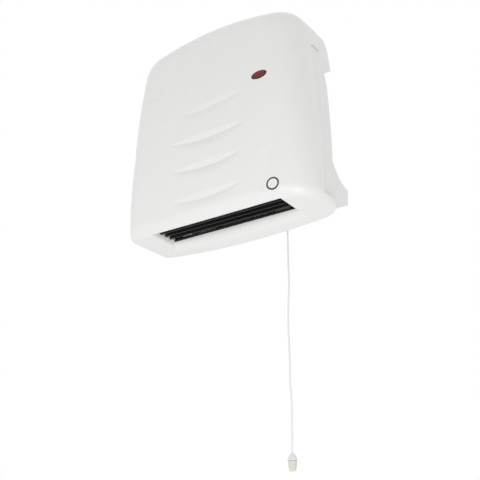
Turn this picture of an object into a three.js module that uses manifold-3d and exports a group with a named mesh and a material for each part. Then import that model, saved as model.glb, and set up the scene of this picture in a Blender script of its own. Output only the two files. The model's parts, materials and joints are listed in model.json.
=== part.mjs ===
// A downflow fan heater for a bathroom wall, as the pieces it comes apart into.
// Millimetres, +X right, +Y towards the wall, +Z up. The pieces are drawn with z = 0 at the
// cover's bottom rim and y = 0 on the wall, and the whole is lowered at the end, so that the
// origin is in the middle of the upper band that bears on the wall.

import * as THREE from 'three';
import { mergeVertices } from 'three/addons/utils/BufferGeometryUtils.js';
import Module from 'manifold-3d';

// ---------------------------------------------------------------- driving dimensions

const gap = 0.3; // running and seating clearance between pieces

// front cover
const coverHalfLow = 124.4;
const coverHalfTop = 108.5;
const coverSideBow = 1.8;
const coverHeight = 251;
const coverCrown = 18.3; // fall of the arched top from its middle to its corners
const coverCorner = 19.6;
const coverDepth = 92.7; // from the wall to the front at the bottom
const coverBow = 11.5;
const coverLean = 2;
const coverWrap = 3.6; // how far the front falls back towards its sides
const coverRound = 35; // front edge rounding at the sides and top
const coverLipRound = 12; // bottom edge rounding under the front
const coverSideLip = 3.4; // and under the sides
const coverRear = 16.6; // from the wall to the cover's rear edge at the bottom
const coverTopRear = 35; // and above the side cut, where the casing's head goes on
const coverWall = 3;
const undersideSag = 7.1;
const sideCutFront = 57;
const sideCutLow = 7;
const sideCutTop = 197;
const sideCutRound = 10;
const rearCornerRound = 24;

// tangential fan's bay, which the outlet, the element and the wiring beside it follow
const motorBay = 37.2; // from the fan's end plate to the cover's side
const endPlateAt = coverHalfLow - motorBay;

// crescent grooves in the front, each from a left tip to a right tip
const grooves = [
  { left: [-32.6, 126], right: [55, 133.6], hang: 2.6, deep: 1.6 },
  { left: [-47, 94.2], right: [53, 94.8], hang: 4.6, deep: 2.4 },
  { left: [-48, 61.3], right: [47.5, 62.2], hang: 4.6, deep: 2.4 },
  { left: [-50.7, 25.2], right: [44.5, 27.7], hang: 4.6, deep: 2.2 },
];
const grooveLowerWall = 3.6;
const grooveStations = 10;

// outlet in the underside
const neckHalf = endPlateAt - 2.2;
const outletHalf = neckHalf + 5;
const outletFront = 86.8;
const outletRear = 34.8;
const neckFront = 79;
const neckRear = 44;
const funnelTop = 5;
const neckTop = 14;
const neckWall = 2.5;
const outletCorner = 3;

// louvre
const bladeCount = 3;
const bladeThick = 1.2;
const bladeFoot = 6.8;
const bladeTop = 13.3;
const combThick = 2.5;
const combFoot = 5.3;

// rear casing
const casingWall = 2.5;
const casingInsetLow = 4.2;
const casingInsetTop = 0.8;
const casingTopInset = 0.6;
const casingHeadRound = 11; // of the head's edge towards the wall
const casingFront = 56;
const casingFloor = 4.3;
const footBreak = 35; // where the floor starts to rise towards the wall
const footRear = 12;
const footTop = 31;
const footCurve = { y: 19, z: 34 }; // pulls the foot's upper surface into the recess
const recessLow = 31;
const recessLowZ = 55;
const recessHigh = 27;
const recessHighZ = 152;
const tabInner = 29;
const tabInnerZ = 170;
const tabFootZ = 189;
const mountHeight = 207;
const keyholeSpan = 120;
const keyholeHead = 5;
const keyholeSlot = 2.3;
const keyholeRise = 9;
const lowerHoleHeight = 22;
const lowerHoleRadius = 2.5;
const cableHole = { x: -endPlateAt - 7.8, z: 22, radius: 6.5 };
const inletSlotWide = 5;
const inletPitch = 10;
const inletColumns = 17;
const inletRows = [[62, 98], [106, 148]];

// fixing posts between cover and casing
const post = { x: coverHalfLow - 20.4, z: 30, radius: 4, casingRadius: 5, meet: 36, pilot: 1.5,
  pilotDeep: 14 };
const screwHead = 2.9;
const screwHeadTall = 2.2;
const screwShank = 1.2;
const screwLong = 13;

// indicator
const lens = { x: 74.3, z: 144.2, halfWide: 9.75, halfTall: 4.75, proud: 0.9, flange: 1.09,
  wrapRoom: 0.7 };
const lampRadius = 2.8;
const lampLong = 15;
const holderLong = 17;
const holderTall = 9;
const holderDeep = 6.6;

// tangential fan
const fanY = -65.5;
const fanZ = 119;
const fanRadius = 27;
const fanInner = 20.5;
const fanHalf = endPlateAt - 3.2;
const fanDisc = 1.5;
const fanBlades = 20;
const fanBladeThick = 1;
const fanBladeSweep = 0.3; // radians between a blade's inner and outer edge
const hubRadius = 6;
const hubLong = 7;
const shaftRadius = 2.5;
const plateThick = 1.5;
const bearingRadius = 6;
const bearingFlange = 7.5;
const bearingLong = 5;

// air guides
const sheet = 1;
const scrollNear = 3; // radial gap at the scroll's start
const scrollFar = 4;
const plateLip = 5.6; // end plate beyond the rotor, towards the front
const guideFoot = 14.3;
const scrollFrom = 1.9; // radians round the rotor
const scrollTo = 3.35;
const scrollKnees = [[-91, 84], [-84.5, 55], [-80, 38]];
const tongueAngle = -0.72;
const vortexKnees = [[-44, 44], [-42.6, 70], [-40.8, 87.2]];
const plateHead = { above: 12, rear: 14, front: 20, cheekUp: 14, cheekDown: 28 };
const plateShoulder = 40;

// shaded-pole motor
const stator = { wide: 46, low: 50, high: 20, thick: 13, limb: 10, windowWide: 24, windowTall: 20 };
const motorBore = 13.4;
const motorRotorRadius = 13;
const motorRotorLong = 11;
const coilWide = 21;
const coilBuild = 6;
const motorStandoff = 3;
const bracketThick = 1.5;
const bracket = { half: 21.5, foot: -21, shoulder: -13, neckHalf: 10, neck: 4, eye: 11 };
const motorScrewRadius = 1.5;

// heating element
const elementRadius = 3;
const elementRuns = [-76, -67, -58, -49];
const elementZ = 34;
const elementReach = endPlateAt - 9.2;
const elementTail = endPlateAt + 9.8;
const supportAt = 45;
const supportThick = 1;
const supportLow = 26;
const supportHigh = 42;

// wiring
const cutout = { x: -40, z: 60, radius: 8, tall: 6 };
const terminal = { x: -65, long: 30, front: 21, rear: 5, top: 27 };
const terminalScrew = 2;
const leadRadius = 1.2;
const clamp = { x: cableHole.x, half: 13, screws: 9.5, front: 15, rear: 9, thick: 3 };

// pull switch and cord
const cordX = 49.5;
const cordY = -12;
const switchHalf = 10;
const switchFront = 20.5;
const switchRear = 5.2;
const switchTop = 28.6;
const switchWall = 1.5;
const switchBore = 4.2;
const plungerHead = 3.6;
const plungerHeadTall = 3;
const stemRadius = 1.3;
const stemFoot = 2;
const springWire = 0.25;
const springCoil = 2.7;
const springTurns = 4;
const guideBarrel = 3;
const guideFlange = 4.6;
const guideFlangeFoot = 5.6;
const guideFlangeTop = 7.4;
const cordRadius = 1;
const cordEnd = -250.7;
const pullTall = 17;
const pullRadius = 5.5;
const pullCapTall = 6.6;

// Height of the casing's sloping floor inside the foot, and what stands on it.
const floorAt = (y) => {
  const share = (y + footBreak) / (footBreak - casingWall);
  return casingFloor + casingWall + share * (footRear - casingFloor);
};
const switchFoot = floorAt(-switchRear) + gap;
const terminalFoot = floorAt(-terminal.rear) + gap;
const clampFoot = floorAt(-clamp.rear) + gap;

// ---------------------------------------------------------------- finishes

const finish = (color, roughness, metalness = 0) =>
  new THREE.MeshStandardMaterial({ color, roughness, metalness });
const whitePlastic = finish(0xeceae4, 0.3);
const casingPlastic = finish(0xe9e7e1, 0.36);
const louvreBlack = finish(0x1b1b1c, 0.45);
const combWhite = finish(0xdddbd4, 0.4);
const redLens = finish(0xa02022, 0.2);
const glass = finish(0xf3e6d8, 0.1);
const blackPlastic = finish(0x202022, 0.5);
const zinc = finish(0xb8bcc0, 0.4, 0.9);
const steel = finish(0xc4c6c8, 0.28, 1);
const siliconSteel = finish(0x7f8388, 0.5, 0.8);
const copper = finish(0xb0643a, 0.4, 0.6);
const brass = finish(0xc7a04e, 0.35, 1);
const sheathSteel = finish(0x8a8580, 0.45, 0.9);
const mica = finish(0xb59a72, 0.7);
const nylon = finish(0xe6e2d6, 0.5);
const cordWhite = finish(0xefeeea, 0.7);
const rubber = finish(0x2a2a2a, 0.85);

// ---------------------------------------------------------------- solids and booleans

const wasm = await Module();
wasm.setup();

// A closed mesh with shared corners merged, as a solid that can be cut.
function solid(geometry) {
  const bare = geometry.clone();
  bare.deleteAttribute('normal');
  bare.deleteAttribute('uv');
  const merged = mergeVertices(bare, 1e-4);
  const mesh = new wasm.Mesh({
    numProp: 3,
    vertProperties: new Float32Array(merged.attributes.position.array),
    triVerts: new Uint32Array(merged.index.array),
  });
  return new wasm.Manifold(mesh);
}

function toGeometry(body) {
  const mesh = body.getMesh();
  const geometry = new THREE.BufferGeometry();
  geometry.setAttribute('position', new THREE.BufferAttribute(mesh.vertProperties, 3));
  geometry.setIndex(new THREE.BufferAttribute(mesh.triVerts, 1));
  geometry.computeVertexNormals();
  return geometry;
}

const join = (...bodies) => bodies.reduce((all, body) => all.add(body));
const cut = (body, ...tools) => tools.reduce((rest, tool) => rest.subtract(tool), body);

// ---------------------------------------------------------------- basic forms

function box(x0, x1, y0, y1, z0, z1) {
  const geometry = new THREE.BoxGeometry(x1 - x0, y1 - y0, z1 - z0);
  geometry.translate((x0 + x1) / 2, (y0 + y1) / 2, (z0 + z1) / 2);
  return solid(geometry);
}

// Prisms of an outline: drawn in (y, z) and run along X, or in (x, z) and run along Y.
function prismX(shape, x0, x1, curveSegments = 8) {
  const geometry = new THREE.ExtrudeGeometry(shape, {
    depth: x1 - x0, bevelEnabled: false, curveSegments,
  });
  const turn = new THREE.Matrix4().makeBasis(
    new THREE.Vector3(0, 1, 0), new THREE.Vector3(0, 0, 1), new THREE.Vector3(1, 0, 0));
  geometry.applyMatrix4(turn).translate(x0, 0, 0);
  return solid(geometry);
}

function prismY(shape, y0, y1, curveSegments = 8) {
  const geometry = new THREE.ExtrudeGeometry(shape, {
    depth: y1 - y0, bevelEnabled: false, curveSegments,
  });
  geometry.rotateX(Math.PI / 2).translate(0, y1, 0);
  return solid(geometry);
}

// Round bars along X, Y and Z.
function barX(radius, x0, x1, y, z, sides = 16) {
  const geometry = new THREE.CylinderGeometry(radius, radius, x1 - x0, sides);
  geometry.rotateZ(Math.PI / 2).translate((x0 + x1) / 2, y, z);
  return solid(geometry);
}

function barY(radius, y0, y1, x, z, sides = 16) {
  const geometry = new THREE.CylinderGeometry(radius, radius, y1 - y0, sides);
  geometry.translate(x, (y0 + y1) / 2, z);
  return solid(geometry);
}

function barZ(radius, z0, z1, x, y, sides = 16) {
  const geometry = new THREE.CylinderGeometry(radius, radius, z1 - z0, sides);
  geometry.rotateX(Math.PI / 2).translate(x, y, (z0 + z1) / 2);
  return solid(geometry);
}

const outlineOf = (points) => new THREE.Shape(points.map(([u, v]) => new THREE.Vector2(u, v)));

// A skin over rings of equally many points, closed by a fan at each end.
function loft(rings) {
  const count = rings[0].length;
  const centre = (ring) =>
    ring.reduce((sum, point) => sum.add(point), new THREE.Vector3()).divideScalar(count);
  const points = [...rings.flat(), centre(rings[0]), centre(rings.at(-1))];
  const first = rings.length * count;
  const index = [];
  rings.forEach((ring, level) => {
    ring.forEach((point, i) => {
      const next = (i + 1) % count;
      if (level === 0) index.push(first, next, i);
      if (level === rings.length - 1) {
        index.push(first + 1, level * count + i, level * count + next);
        return;
      }
      const low = level * count;
      const high = low + count;
      index.push(low + i, low + next, high + next, low + i, high + next, high + i);
    });
  });
  const geometry = new THREE.BufferGeometry().setFromPoints(points);
  geometry.setIndex(index);
  const body = solid(geometry);
  if (body.volume() > 0) return body;
  geometry.setIndex(index.reverse());
  return solid(geometry);
}

// A path of straight runs joined by round bends, with rings only where it bends.
class BentPath extends THREE.Curve {
  constructor(corners, bend, bendSteps = 5) {
    super();
    this.rings = [];
    const points = corners.map((corner) => new THREE.Vector3(...corner));
    points.forEach((point, i) => {
      if (i === 0 || i === points.length - 1) {
        const other = points[i === 0 ? 1 : i - 1];
        const along = new THREE.Vector3().subVectors(other, point).normalize();
        this.rings.push({ at: point, along: i === 0 ? along : along.negate() });
        return;
      }
      const back = new THREE.Vector3().subVectors(points[i - 1], point).normalize();
      const ahead = new THREE.Vector3().subVectors(points[i + 1], point).normalize();
      const turn = Math.PI - back.angleTo(ahead);
      const reach = bend * Math.tan(turn / 2);
      const middle = new THREE.Vector3().addVectors(back, ahead).normalize()
        .multiplyScalar(bend / Math.cos(turn / 2)).add(point);
      const start = back.clone().multiplyScalar(reach).add(point).sub(middle);
      const axis = new THREE.Vector3().crossVectors(back, ahead).normalize().negate();
      for (let step = 0; step <= bendSteps; step += 1) {
        const spoke = start.clone().applyAxisAngle(axis, (turn * step) / bendSteps);
        const along = new THREE.Vector3().crossVectors(axis, spoke).normalize();
        this.rings.push({ at: spoke.add(middle), along });
      }
    });
    this.steps = this.rings.length - 1;
  }

  ring(u) {
    return this.rings[Math.round(u * this.steps)];
  }

  getPoint(u, target = new THREE.Vector3()) {
    return target.copy(this.ring(u).at);
  }

  getPointAt(u, target) {
    return this.getPoint(u, target);
  }

  getTangentAt(u, target = new THREE.Vector3()) {
    return target.copy(this.ring(u).along);
  }
}

function roundSection(radius, sides) {
  return outlineOf(Array.from({ length: sides }, (unused, i) => {
    const angle = (2 * Math.PI * i) / sides;
    return [radius * Math.cos(angle), radius * Math.sin(angle)];
  }));
}

const tube = (path, steps, radius, sides = 8) =>
  solid(new THREE.ExtrudeGeometry(roundSection(radius, sides), {
    steps, extrudePath: path, bevelEnabled: false,
  }));

function bentTube(corners, bend, radius, sides = 6) {
  const path = new BentPath(corners, bend);
  return tube(path, path.steps, radius, sides);
}

function turned(profile, sides = 20) {
  const points = profile.map(([radius, z]) => new THREE.Vector2(radius, z));
  return solid(new THREE.LatheGeometry(points, sides).rotateX(Math.PI / 2));
}

// ---------------------------------------------------------------- the object

const heater = new THREE.Group();

function add(name, body, material, parent = heater) {
  const mesh = new THREE.Mesh(toGeometry(body), material);
  mesh.name = name;
  parent.add(mesh);
  return mesh;
}

// ---- cover form: an arched outline that tapers, bows and rounds over to the front

const smoothstep = (value) => {
  const t = THREE.MathUtils.clamp(value, 0, 1);
  return t * t * (3 - 2 * t);
};

function halfWidthAt(z) {
  const t = z / coverHeight;
  const taper = (coverHalfLow - coverHalfTop) * (0.4 * t + 0.6 * t * t);
  const bow = coverSideBow * 4 * t * (1 - t) * (1 + 2.5 * (0.5 - t));
  return coverHalfLow - taper + bow;
}

function frontAt(x, z) {
  const t = z / coverHeight;
  const across = x / coverHalfLow;
  return -coverDepth - coverLean * (0.3 * t + 0.7 * t * t) - coverBow * 4 * t * (1 - t)
    + coverWrap * across * across;
}

// Points round an upright rectangle with round upper corners, before it is tapered and arched.
// Its points are close together near the bottom, where the edge is rounded afterwards.
function blankOutline() {
  const half = coverHalfLow;
  const foot = half - coverSideLip;
  const shoulder = coverHeight - coverCorner;
  const flat = half - coverCorner;
  const right = [];
  for (let i = 0; i < 5; i += 1) right.push([(foot * i) / 5, 0]);
  right.push([foot, 0], [half - coverSideLip * 0.35, 0], [half, 0]);
  [0.1, 0.28, 0.55, 1].forEach((share) => right.push([half, coverLipRound * share]));
  for (let i = 1; i < 7; i += 1) {
    right.push([half, THREE.MathUtils.lerp(coverLipRound, shoulder, i / 7)]);
  }
  for (let i = 0; i < 6; i += 1) {
    const angle = (Math.PI / 2) * (i / 6);
    right.push([flat + coverCorner * Math.cos(angle), shoulder + coverCorner * Math.sin(angle)]);
  }
  for (let i = 0; i < 5; i += 1) right.push([flat * (1 - i / 5), coverHeight]);
  const left = right.slice(1).reverse().map(([x, z]) => [-x, z]);
  return [...right, [0, coverHeight], ...left];
}
const blank = blankOutline();
const casingBlank = blank.filter(([x, z]) =>
  z >= coverLipRound || (z === 0 && Math.abs(x) === coverHalfLow));

// One point of the outline, drawn in by the given amounts and then tapered and arched.
function shaped(x0, z0, insetSide, insetLow, insetTop) {
  const z1 = insetLow + (z0 * (coverHeight - insetLow - insetTop)) / coverHeight;
  const x = (x0 / coverHalfLow) * (halfWidthAt(z1) - insetSide);
  const t = z1 / coverHeight;
  const z = z1 - coverCrown * (x / coverHalfTop) ** 2 * t * t;
  return [x, z];
}

// How far a point lies inside the cover's outline seen from above, and which way is out.
function planAt(point, inset) {
  const radius = coverRound - inset;
  const half = halfWidthAt(point.z) - inset;
  const past = Math.max(Math.abs(point.x) - half + radius, 0);
  const ahead = Math.max(frontAt(point.x, point.z) + inset + radius - point.y, 0);
  if (ahead === 0) return { inside: half - Math.abs(point.x), outX: Math.sign(point.x), outY: 0 };
  const long = Math.hypot(past, ahead);
  return { inside: radius - long, outX: (Math.sign(point.x) * past) / long, outY: -ahead / long };
}

// Rounds the bottom edge over, widely under the front and tightly under the sides.
function footRounded(point, inset) {
  const { inside, outX, outY } = planAt(point, inset);
  const radius = THREE.MathUtils.lerp(coverLipRound, coverSideLip, outX * outX) - inset;
  const rise = point.z - inset;
  const along = rise > 0.01 ? -rise / radius : inside / radius;
  if (Math.abs(along) >= 1) return point;
  const angle = (Math.PI / 4) * (1 + along);
  const inwards = radius * (1 - Math.cos(angle)) - Math.max(inside, 0);
  return point.set(point.x - outX * inwards, point.y - outY * inwards,
    inset + radius * (1 - Math.sin(angle)));
}

// The underside hangs lower towards the wall, most in the middle.
function sagged(point) {
  const across = 1 - (point.x / coverHalfLow) ** 2;
  const back = THREE.MathUtils.clamp((point.y + coverDepth) / (coverDepth - coverRear), 0, 1.3);
  const low = THREE.MathUtils.clamp(1 - point.z / 20, 0, 1.2);
  point.z -= undersideSag * across * back * low;
  return point;
}

function coverForm(inset, rearY, roundSteps, capShares) {
  const radius = coverRound - inset;
  const finished = (x, y, z) => sagged(footRounded(new THREE.Vector3(x, y, z), inset));
  const rings = [blank.map(([x0, z0]) => {
    const [x, z] = shaped(x0, z0, inset, inset, inset);
    return finished(x, rearY, z);
  })];
  let flat = [];
  for (let step = 0; step <= roundSteps; step += 1) {
    const angle = (Math.PI / 2) * (step / roundSteps);
    const drawnIn = inset + radius * (1 - Math.cos(angle));
    flat = blank.map(([x0, z0]) => shaped(x0, z0, drawnIn, inset, drawnIn));
    rings.push(flat.map(([x, z]) =>
      finished(x, frontAt(x, z) + inset + radius * (1 - Math.sin(angle)), z)));
  }
  const middle = coverHeight * 0.48;
  capShares.forEach((share) => {
    rings.push(flat.map(([x, z]) => {
      const height = middle + (z - middle) * share;
      return finished(x * share, frontAt(x * share, height) + inset, height);
    }));
  });
  return loft(rings);
}

// A crescent groove: its upper wall curls in to a crease, and its lower wall runs back out.
function grooveCutter({ left, right, hang, deep }) {
  const rings = [];
  for (let station = 0; station <= grooveStations; station += 1) {
    const u = -1 + (2 * station) / grooveStations;
    const swell = Math.max(1 - u * u, 0.02);
    const share = (u + 1) / 2;
    const x = THREE.MathUtils.lerp(left[0], right[0], share);
    const chord = THREE.MathUtils.lerp(left[1], right[1], share);
    const crease = chord - hang * (1 - u * u);
    const upper = crease + hang * swell + 1.6 * swell;
    const lower = crease - grooveLowerWall * swell;
    const depth = deep * swell ** 0.7;
    const at = (z, inwards) => new THREE.Vector3(x, frontAt(x, z) + inwards, z);
    const wallPoint = (share2) =>
      at(THREE.MathUtils.lerp(upper, crease, share2), depth * share2 ** 1.7 - 0.08);
    rings.push([
      wallPoint(0), wallPoint(0.35), wallPoint(0.65), wallPoint(0.87), at(crease, depth),
      at(THREE.MathUtils.lerp(crease, lower, 0.45), depth * 0.42), at(lower, -0.08),
      at(lower, -4), at(upper, -4),
    ]);
  }
  return loft(rings);
}

// A rounded rectangular ring at one height, for the outlet's funnel and neck.
function outletRing(half, front, rear, z, spread = 0) {
  const radius = outletCorner;
  const x = half + spread - radius;
  const y0 = -front - spread + radius;
  const y1 = -rear + spread - radius;
  const corners = [[x, y1, 0], [-x, y1, 1], [-x, y0, 2], [x, y0, 3]];
  return corners.flatMap(([cx, cy, quarter]) => [0, 1, 2, 3].map((i) => {
    const angle = (Math.PI / 2) * (quarter + i / 3);
    return new THREE.Vector3(cx + radius * Math.cos(angle), cy + radius * Math.sin(angle), z);
  }));
}

const funnelLow = -undersideSag - 4;
// The funnel's slope is carried on below the rim, so that it cuts right through the underside.
function funnel(spread) {
  const slope = (funnelLow - funnelTop) / (0 - funnelTop);
  const reach = (rim, neck) => neck + (rim - neck) * slope;
  return loft([
    outletRing(reach(outletHalf, neckHalf), reach(outletFront, neckFront),
      reach(outletRear, neckRear), funnelLow, spread),
    outletRing(neckHalf, neckFront, neckRear, funnelTop, spread),
    outletRing(neckHalf, neckFront, neckRear, spread > 0 ? neckTop : neckTop + 4, spread),
  ]);
}

function makeFrontCover() {
  const outer = coverForm(0, -coverRear, 6,
    [0.985, 0.955, 0.9, 0.76, 0.62, 0.48, 0.34, 0.2]);
  const hollow = coverForm(coverWall, 6, 3, [0.96, 0.9, 0.45]);
  let body = outer.subtract(hollow);
  body = join(body, outer.intersect(funnel(neckWall)));
  [-1, 1].forEach((side) => {
    const pillar = barY(post.radius, -coverDepth - coverBow, -post.meet, side * post.x, post.z);
    body = join(body, outer.intersect(pillar));
  });
  const sideCut = new THREE.Shape();
  sideCut.moveTo(6, sideCutLow);
  sideCut.lineTo(6, coverHeight + 5);
  sideCut.lineTo(-coverTopRear, coverHeight + 5);
  sideCut.lineTo(-coverTopRear, sideCutTop);
  sideCut.lineTo(-sideCutFront + sideCutRound, sideCutTop);
  sideCut.quadraticCurveTo(-sideCutFront, sideCutTop, -sideCutFront, sideCutTop - sideCutRound);
  sideCut.lineTo(-sideCutFront, sideCutLow);
  body = cut(body, funnel(0), prismX(sideCut, -coverHalfLow - 5, coverHalfLow + 5));
  [-1, 1].forEach((side) => {
    body = cut(body, rearCornerCut(side));
    body = cut(body, barY(post.pilot, -post.meet - post.pilotDeep, -post.meet + 1,
      side * post.x, post.z, 12));
  });
  grooves.forEach((groove) => {
    body = cut(body, grooveCutter(groove));
  });
  return cut(body, lensBar(gap, -coverDepth - coverBow - 8, -coverDepth));
}

// Rounds the underside's rear corners in plan.
function rearCornerCut(side) {
  const edge = coverHalfLow + 0.5;
  const radius = rearCornerRound;
  const shape = new THREE.Shape();
  shape.moveTo(edge + 4, -coverRear + 4);
  shape.lineTo(edge - radius, -coverRear + 4);
  shape.lineTo(edge - radius, -coverRear);
  shape.absarc(edge - radius, -coverRear - radius, radius, Math.PI / 2, 0, true);
  shape.lineTo(edge + 4, -coverRear - radius);
  const geometry = new THREE.ExtrudeGeometry(shape, {
    depth: sideCutLow + undersideSag + 4, bevelEnabled: false, curveSegments: 8,
  });
  geometry.translate(0, 0, -undersideSag - 4);
  const body = solid(geometry);
  return side > 0 ? body : body.mirror([1, 0, 0]);
}

// An oval bar through the front at the indicator, grown by the given clearance.
function lensBar(spread, y0, y1) {
  const shape = new THREE.Shape();
  shape.absellipse(lens.x, lens.z, lens.halfWide + spread, lens.halfTall + spread, 0,
    2 * Math.PI, false, 0);
  return prismY(shape, y0, y1, 12);
}

add('front_cover', makeFrontCover(), whitePlastic);

// ---- rear casing

const recessAt = (z) => {
  const share = (z - recessLowZ) / (recessHighZ - recessLowZ);
  return -THREE.MathUtils.lerp(recessLow, recessHigh, share);
};

// The casing seen from the side: foot, air recess and upper tab, drawn in by an inset.
function casingSide(inset) {
  const front = -casingFront - (inset > 0 ? 6 : 0);
  const wallSide = -inset;
  const shape = new THREE.Shape();
  shape.moveTo(front, casingFloor + inset);
  shape.lineTo(-footBreak, casingFloor + inset);
  shape.lineTo(wallSide, footRear + inset);
  shape.lineTo(wallSide, footTop - inset);
  shape.quadraticCurveTo(-footCurve.y - inset, footCurve.z - inset, -recessLow - inset, recessLowZ);
  shape.lineTo(-recessHigh - inset, recessHighZ);
  shape.lineTo(-tabInner - inset, tabInnerZ + inset * 0.5);
  shape.lineTo(wallSide, tabFootZ + inset);
  shape.lineTo(wallSide, coverHeight + 5);
  shape.lineTo(front, coverHeight + 5);
  return shape;
}

// The casing follows the cover's outline from the front, and its head rounds in to the wall.
function casingBody(inset, frontY, rearY) {
  const ring = (y, roundedIn) => casingBlank.map(([x0, z0]) => {
    const share = z0 / coverHeight;
    const head = smoothstep((z0 - recessHighZ) / (tabFootZ - recessHighZ));
    const side = THREE.MathUtils.lerp(casingInsetLow, casingInsetTop, share) + inset;
    const [x, z] = shaped(x0, z0, side + roundedIn * head, -coverLipRound,
      casingTopInset + inset + roundedIn);
    return new THREE.Vector3(x, y, z);
  });
  const radius = casingHeadRound - inset;
  const rings = [ring(frontY, 0)];
  for (let step = 0; step <= 3; step += 1) {
    const angle = (Math.PI / 2) * (step / 3);
    rings.push(ring(rearY - radius * (1 - Math.sin(angle)), radius * (1 - Math.cos(angle))));
  }
  return loft(rings);
}

// Where the cover comes over the casing's head, the casing keeps inside the cover's wall.
function underCover(inset) {
  const rear = -coverTopRear + gap + inset;
  const low = sideCutTop - gap - inset;
  const front = -sideCutFront + gap;
  const shape = new THREE.Shape();
  shape.moveTo(front - 15, coverHeight + 5);
  shape.lineTo(rear, coverHeight + 5);
  shape.lineTo(rear, low);
  shape.lineTo(front + sideCutRound, low);
  shape.quadraticCurveTo(front, low, front, low - sideCutRound);
  shape.lineTo(front - 15, low - sideCutRound);
  const wide = coverHalfLow + 5;
  const step = coverWall + gap;
  const kept = outlineOf(casingBlank.map(([x0, z0]) =>
    shaped(x0, z0, step + inset, -coverLipRound, step + inset)));
  return prismX(shape, -wide, wide).subtract(prismY(kept, front - 20, 1));
}

function keyhole(x) {
  const z = mountHeight + 5;
  return join(
    barY(keyholeHead, -casingWall - 2, 2, x, z, 16),
    box(x - keyholeSlot, x + keyholeSlot, -casingWall - 2, 2, z, z + keyholeRise),
  );
}

function makeRearCasing() {
  const wide = coverHalfLow + 5;
  const outer = prismX(casingSide(0), -wide, wide)
    .intersect(casingBody(0, -casingFront, 0))
    .subtract(underCover(0));
  const hollow = prismX(casingSide(casingWall), -wide, wide)
    .intersect(casingBody(casingWall, -casingFront - 6, -casingWall))
    .subtract(underCover(casingWall));
  let body = outer.subtract(hollow);
  const clearHalf = outletHalf + neckWall + 4;
  body = cut(body, box(-clearHalf, clearHalf, -casingFront - 2, -outletRear + neckWall + 1.6,
    -5, neckTop));
  [-1, 1].forEach((side) => {
    const x = side * post.x;
    body = join(body, barY(post.casingRadius, -post.meet + gap, -casingWall / 2, x, post.z));
    body = cut(body, barY(screwHead + gap, -post.meet + gap + 2.2, 2, x, post.z, 14));
    body = cut(body, barY(screwShank + gap, -post.meet - 1, 2, x, post.z, 12));
    body = cut(body, keyhole(side * keyholeSpan / 2));
  });
  body = cut(body, barY(lowerHoleRadius, -casingWall - 2, 2, 0, lowerHoleHeight, 12));
  body = cut(body, barY(cableHole.radius, -casingWall - 2, 2, cableHole.x, cableHole.z, 16));
  body = cut(body, barZ(guideBarrel + gap, -5, switchFoot + 4, cordX, cordY, 16));
  const first = (-(inletColumns - 1) / 2) * inletPitch;
  inletRows.forEach(([low, high]) => {
    for (let column = 0; column < inletColumns; column += 1) {
      const x = first + column * inletPitch;
      body = cut(body, box(x - inletSlotWide / 2, x + inletSlotWide / 2,
        -recessLow - casingWall - 2, -recessHigh + 2, low, high));
    }
  });
  return body;
}

add('rear_casing', makeRearCasing(), casingPlastic);

// ---- outlet louvre: blades standing in slotted end combs

const bladeY = (i) => -neckFront + ((i + 1) * (neckFront - neckRear)) / (bladeCount + 1);

function makeComb(side) {
  const outerX = neckHalf - gap;
  const innerX = outerX - combThick;
  const x0 = side > 0 ? innerX : -outerX;
  const x1 = side > 0 ? outerX : -innerX;
  let body = box(x0, x1, -neckFront, -neckRear, combFoot, bladeTop).intersect(funnel(-gap));
  for (let i = 0; i < bladeCount; i += 1) {
    const half = bladeThick / 2 + gap;
    body = cut(body, box(x0 - 1, x1 + 1, bladeY(i) - half, bladeY(i) + half,
      bladeFoot - gap, bladeTop + 1));
  }
  return body;
}

add('outlet_comb_left', makeComb(-1), combWhite);
add('outlet_comb_right', makeComb(1), combWhite);

for (let i = 0; i < bladeCount; i += 1) {
  const half = bladeThick / 2;
  const end = neckHalf - gap * 2;
  const blade = outlineOf([
    [bladeY(i) - half * 0.5, bladeFoot], [bladeY(i) + half * 0.5, bladeFoot],
    [bladeY(i) + half, bladeFoot + 1], [bladeY(i) + half, bladeTop],
    [bladeY(i) - half, bladeTop], [bladeY(i) - half, bladeFoot + 1],
  ]);
  add(`louvre_blade_${i + 1}`, prismX(blade, -end, end), louvreBlack);
}

// ---- indicator

const lensFace = frontAt(lens.x, lens.z);
const lensSeat = lensFace + coverWall + gap + lens.wrapRoom;

function makeLens() {
  const crest = lensFace - lens.proud;
  const barrel = crest + 1.2;
  const profile = [[0, -lensSeat - 1.4], [lens.flange, -lensSeat - 1.4], [lens.flange, -lensSeat],
    [1, -lensSeat], [1, -barrel], [0.93, -barrel + 0.5], [0.7, -barrel + 0.95],
    [0.35, -crest - 0.06], [0, -crest]];
  const points = profile.map(([radius, h]) => new THREE.Vector2(radius, h));
  const geometry = new THREE.LatheGeometry(points, 24);
  geometry.scale(lens.halfWide, 1, lens.halfTall);
  geometry.rotateX(Math.PI).rotateZ(0).translate(lens.x, 0, lens.z);
  return solid(geometry);
}

add('neon_lens', makeLens(), redLens);

const holderY = lensSeat + 1.4 + gap;
const lampY = holderY + holderDeep / 2;
const lampBore = lampRadius + gap;
add('neon_holder', cut(
  box(lens.x - holderLong / 2, lens.x + holderLong / 2, holderY, holderY + holderDeep,
    lens.z - holderTall / 2, lens.z + holderTall / 2),
  barX(lampBore, lens.x - holderLong, lens.x + holderLong, lampY, lens.z, 16),
), nylon);
add('neon_lamp', barX(lampRadius, lens.x - lampLong / 2, lens.x + lampLong / 2, lampY, lens.z, 16),
  glass);

// ---- tangential fan and its motor, drawn round the shaft and set on it

const fan = new THREE.Group();
fan.position.set(0, fanY, fanZ);
heater.add(fan);

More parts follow.
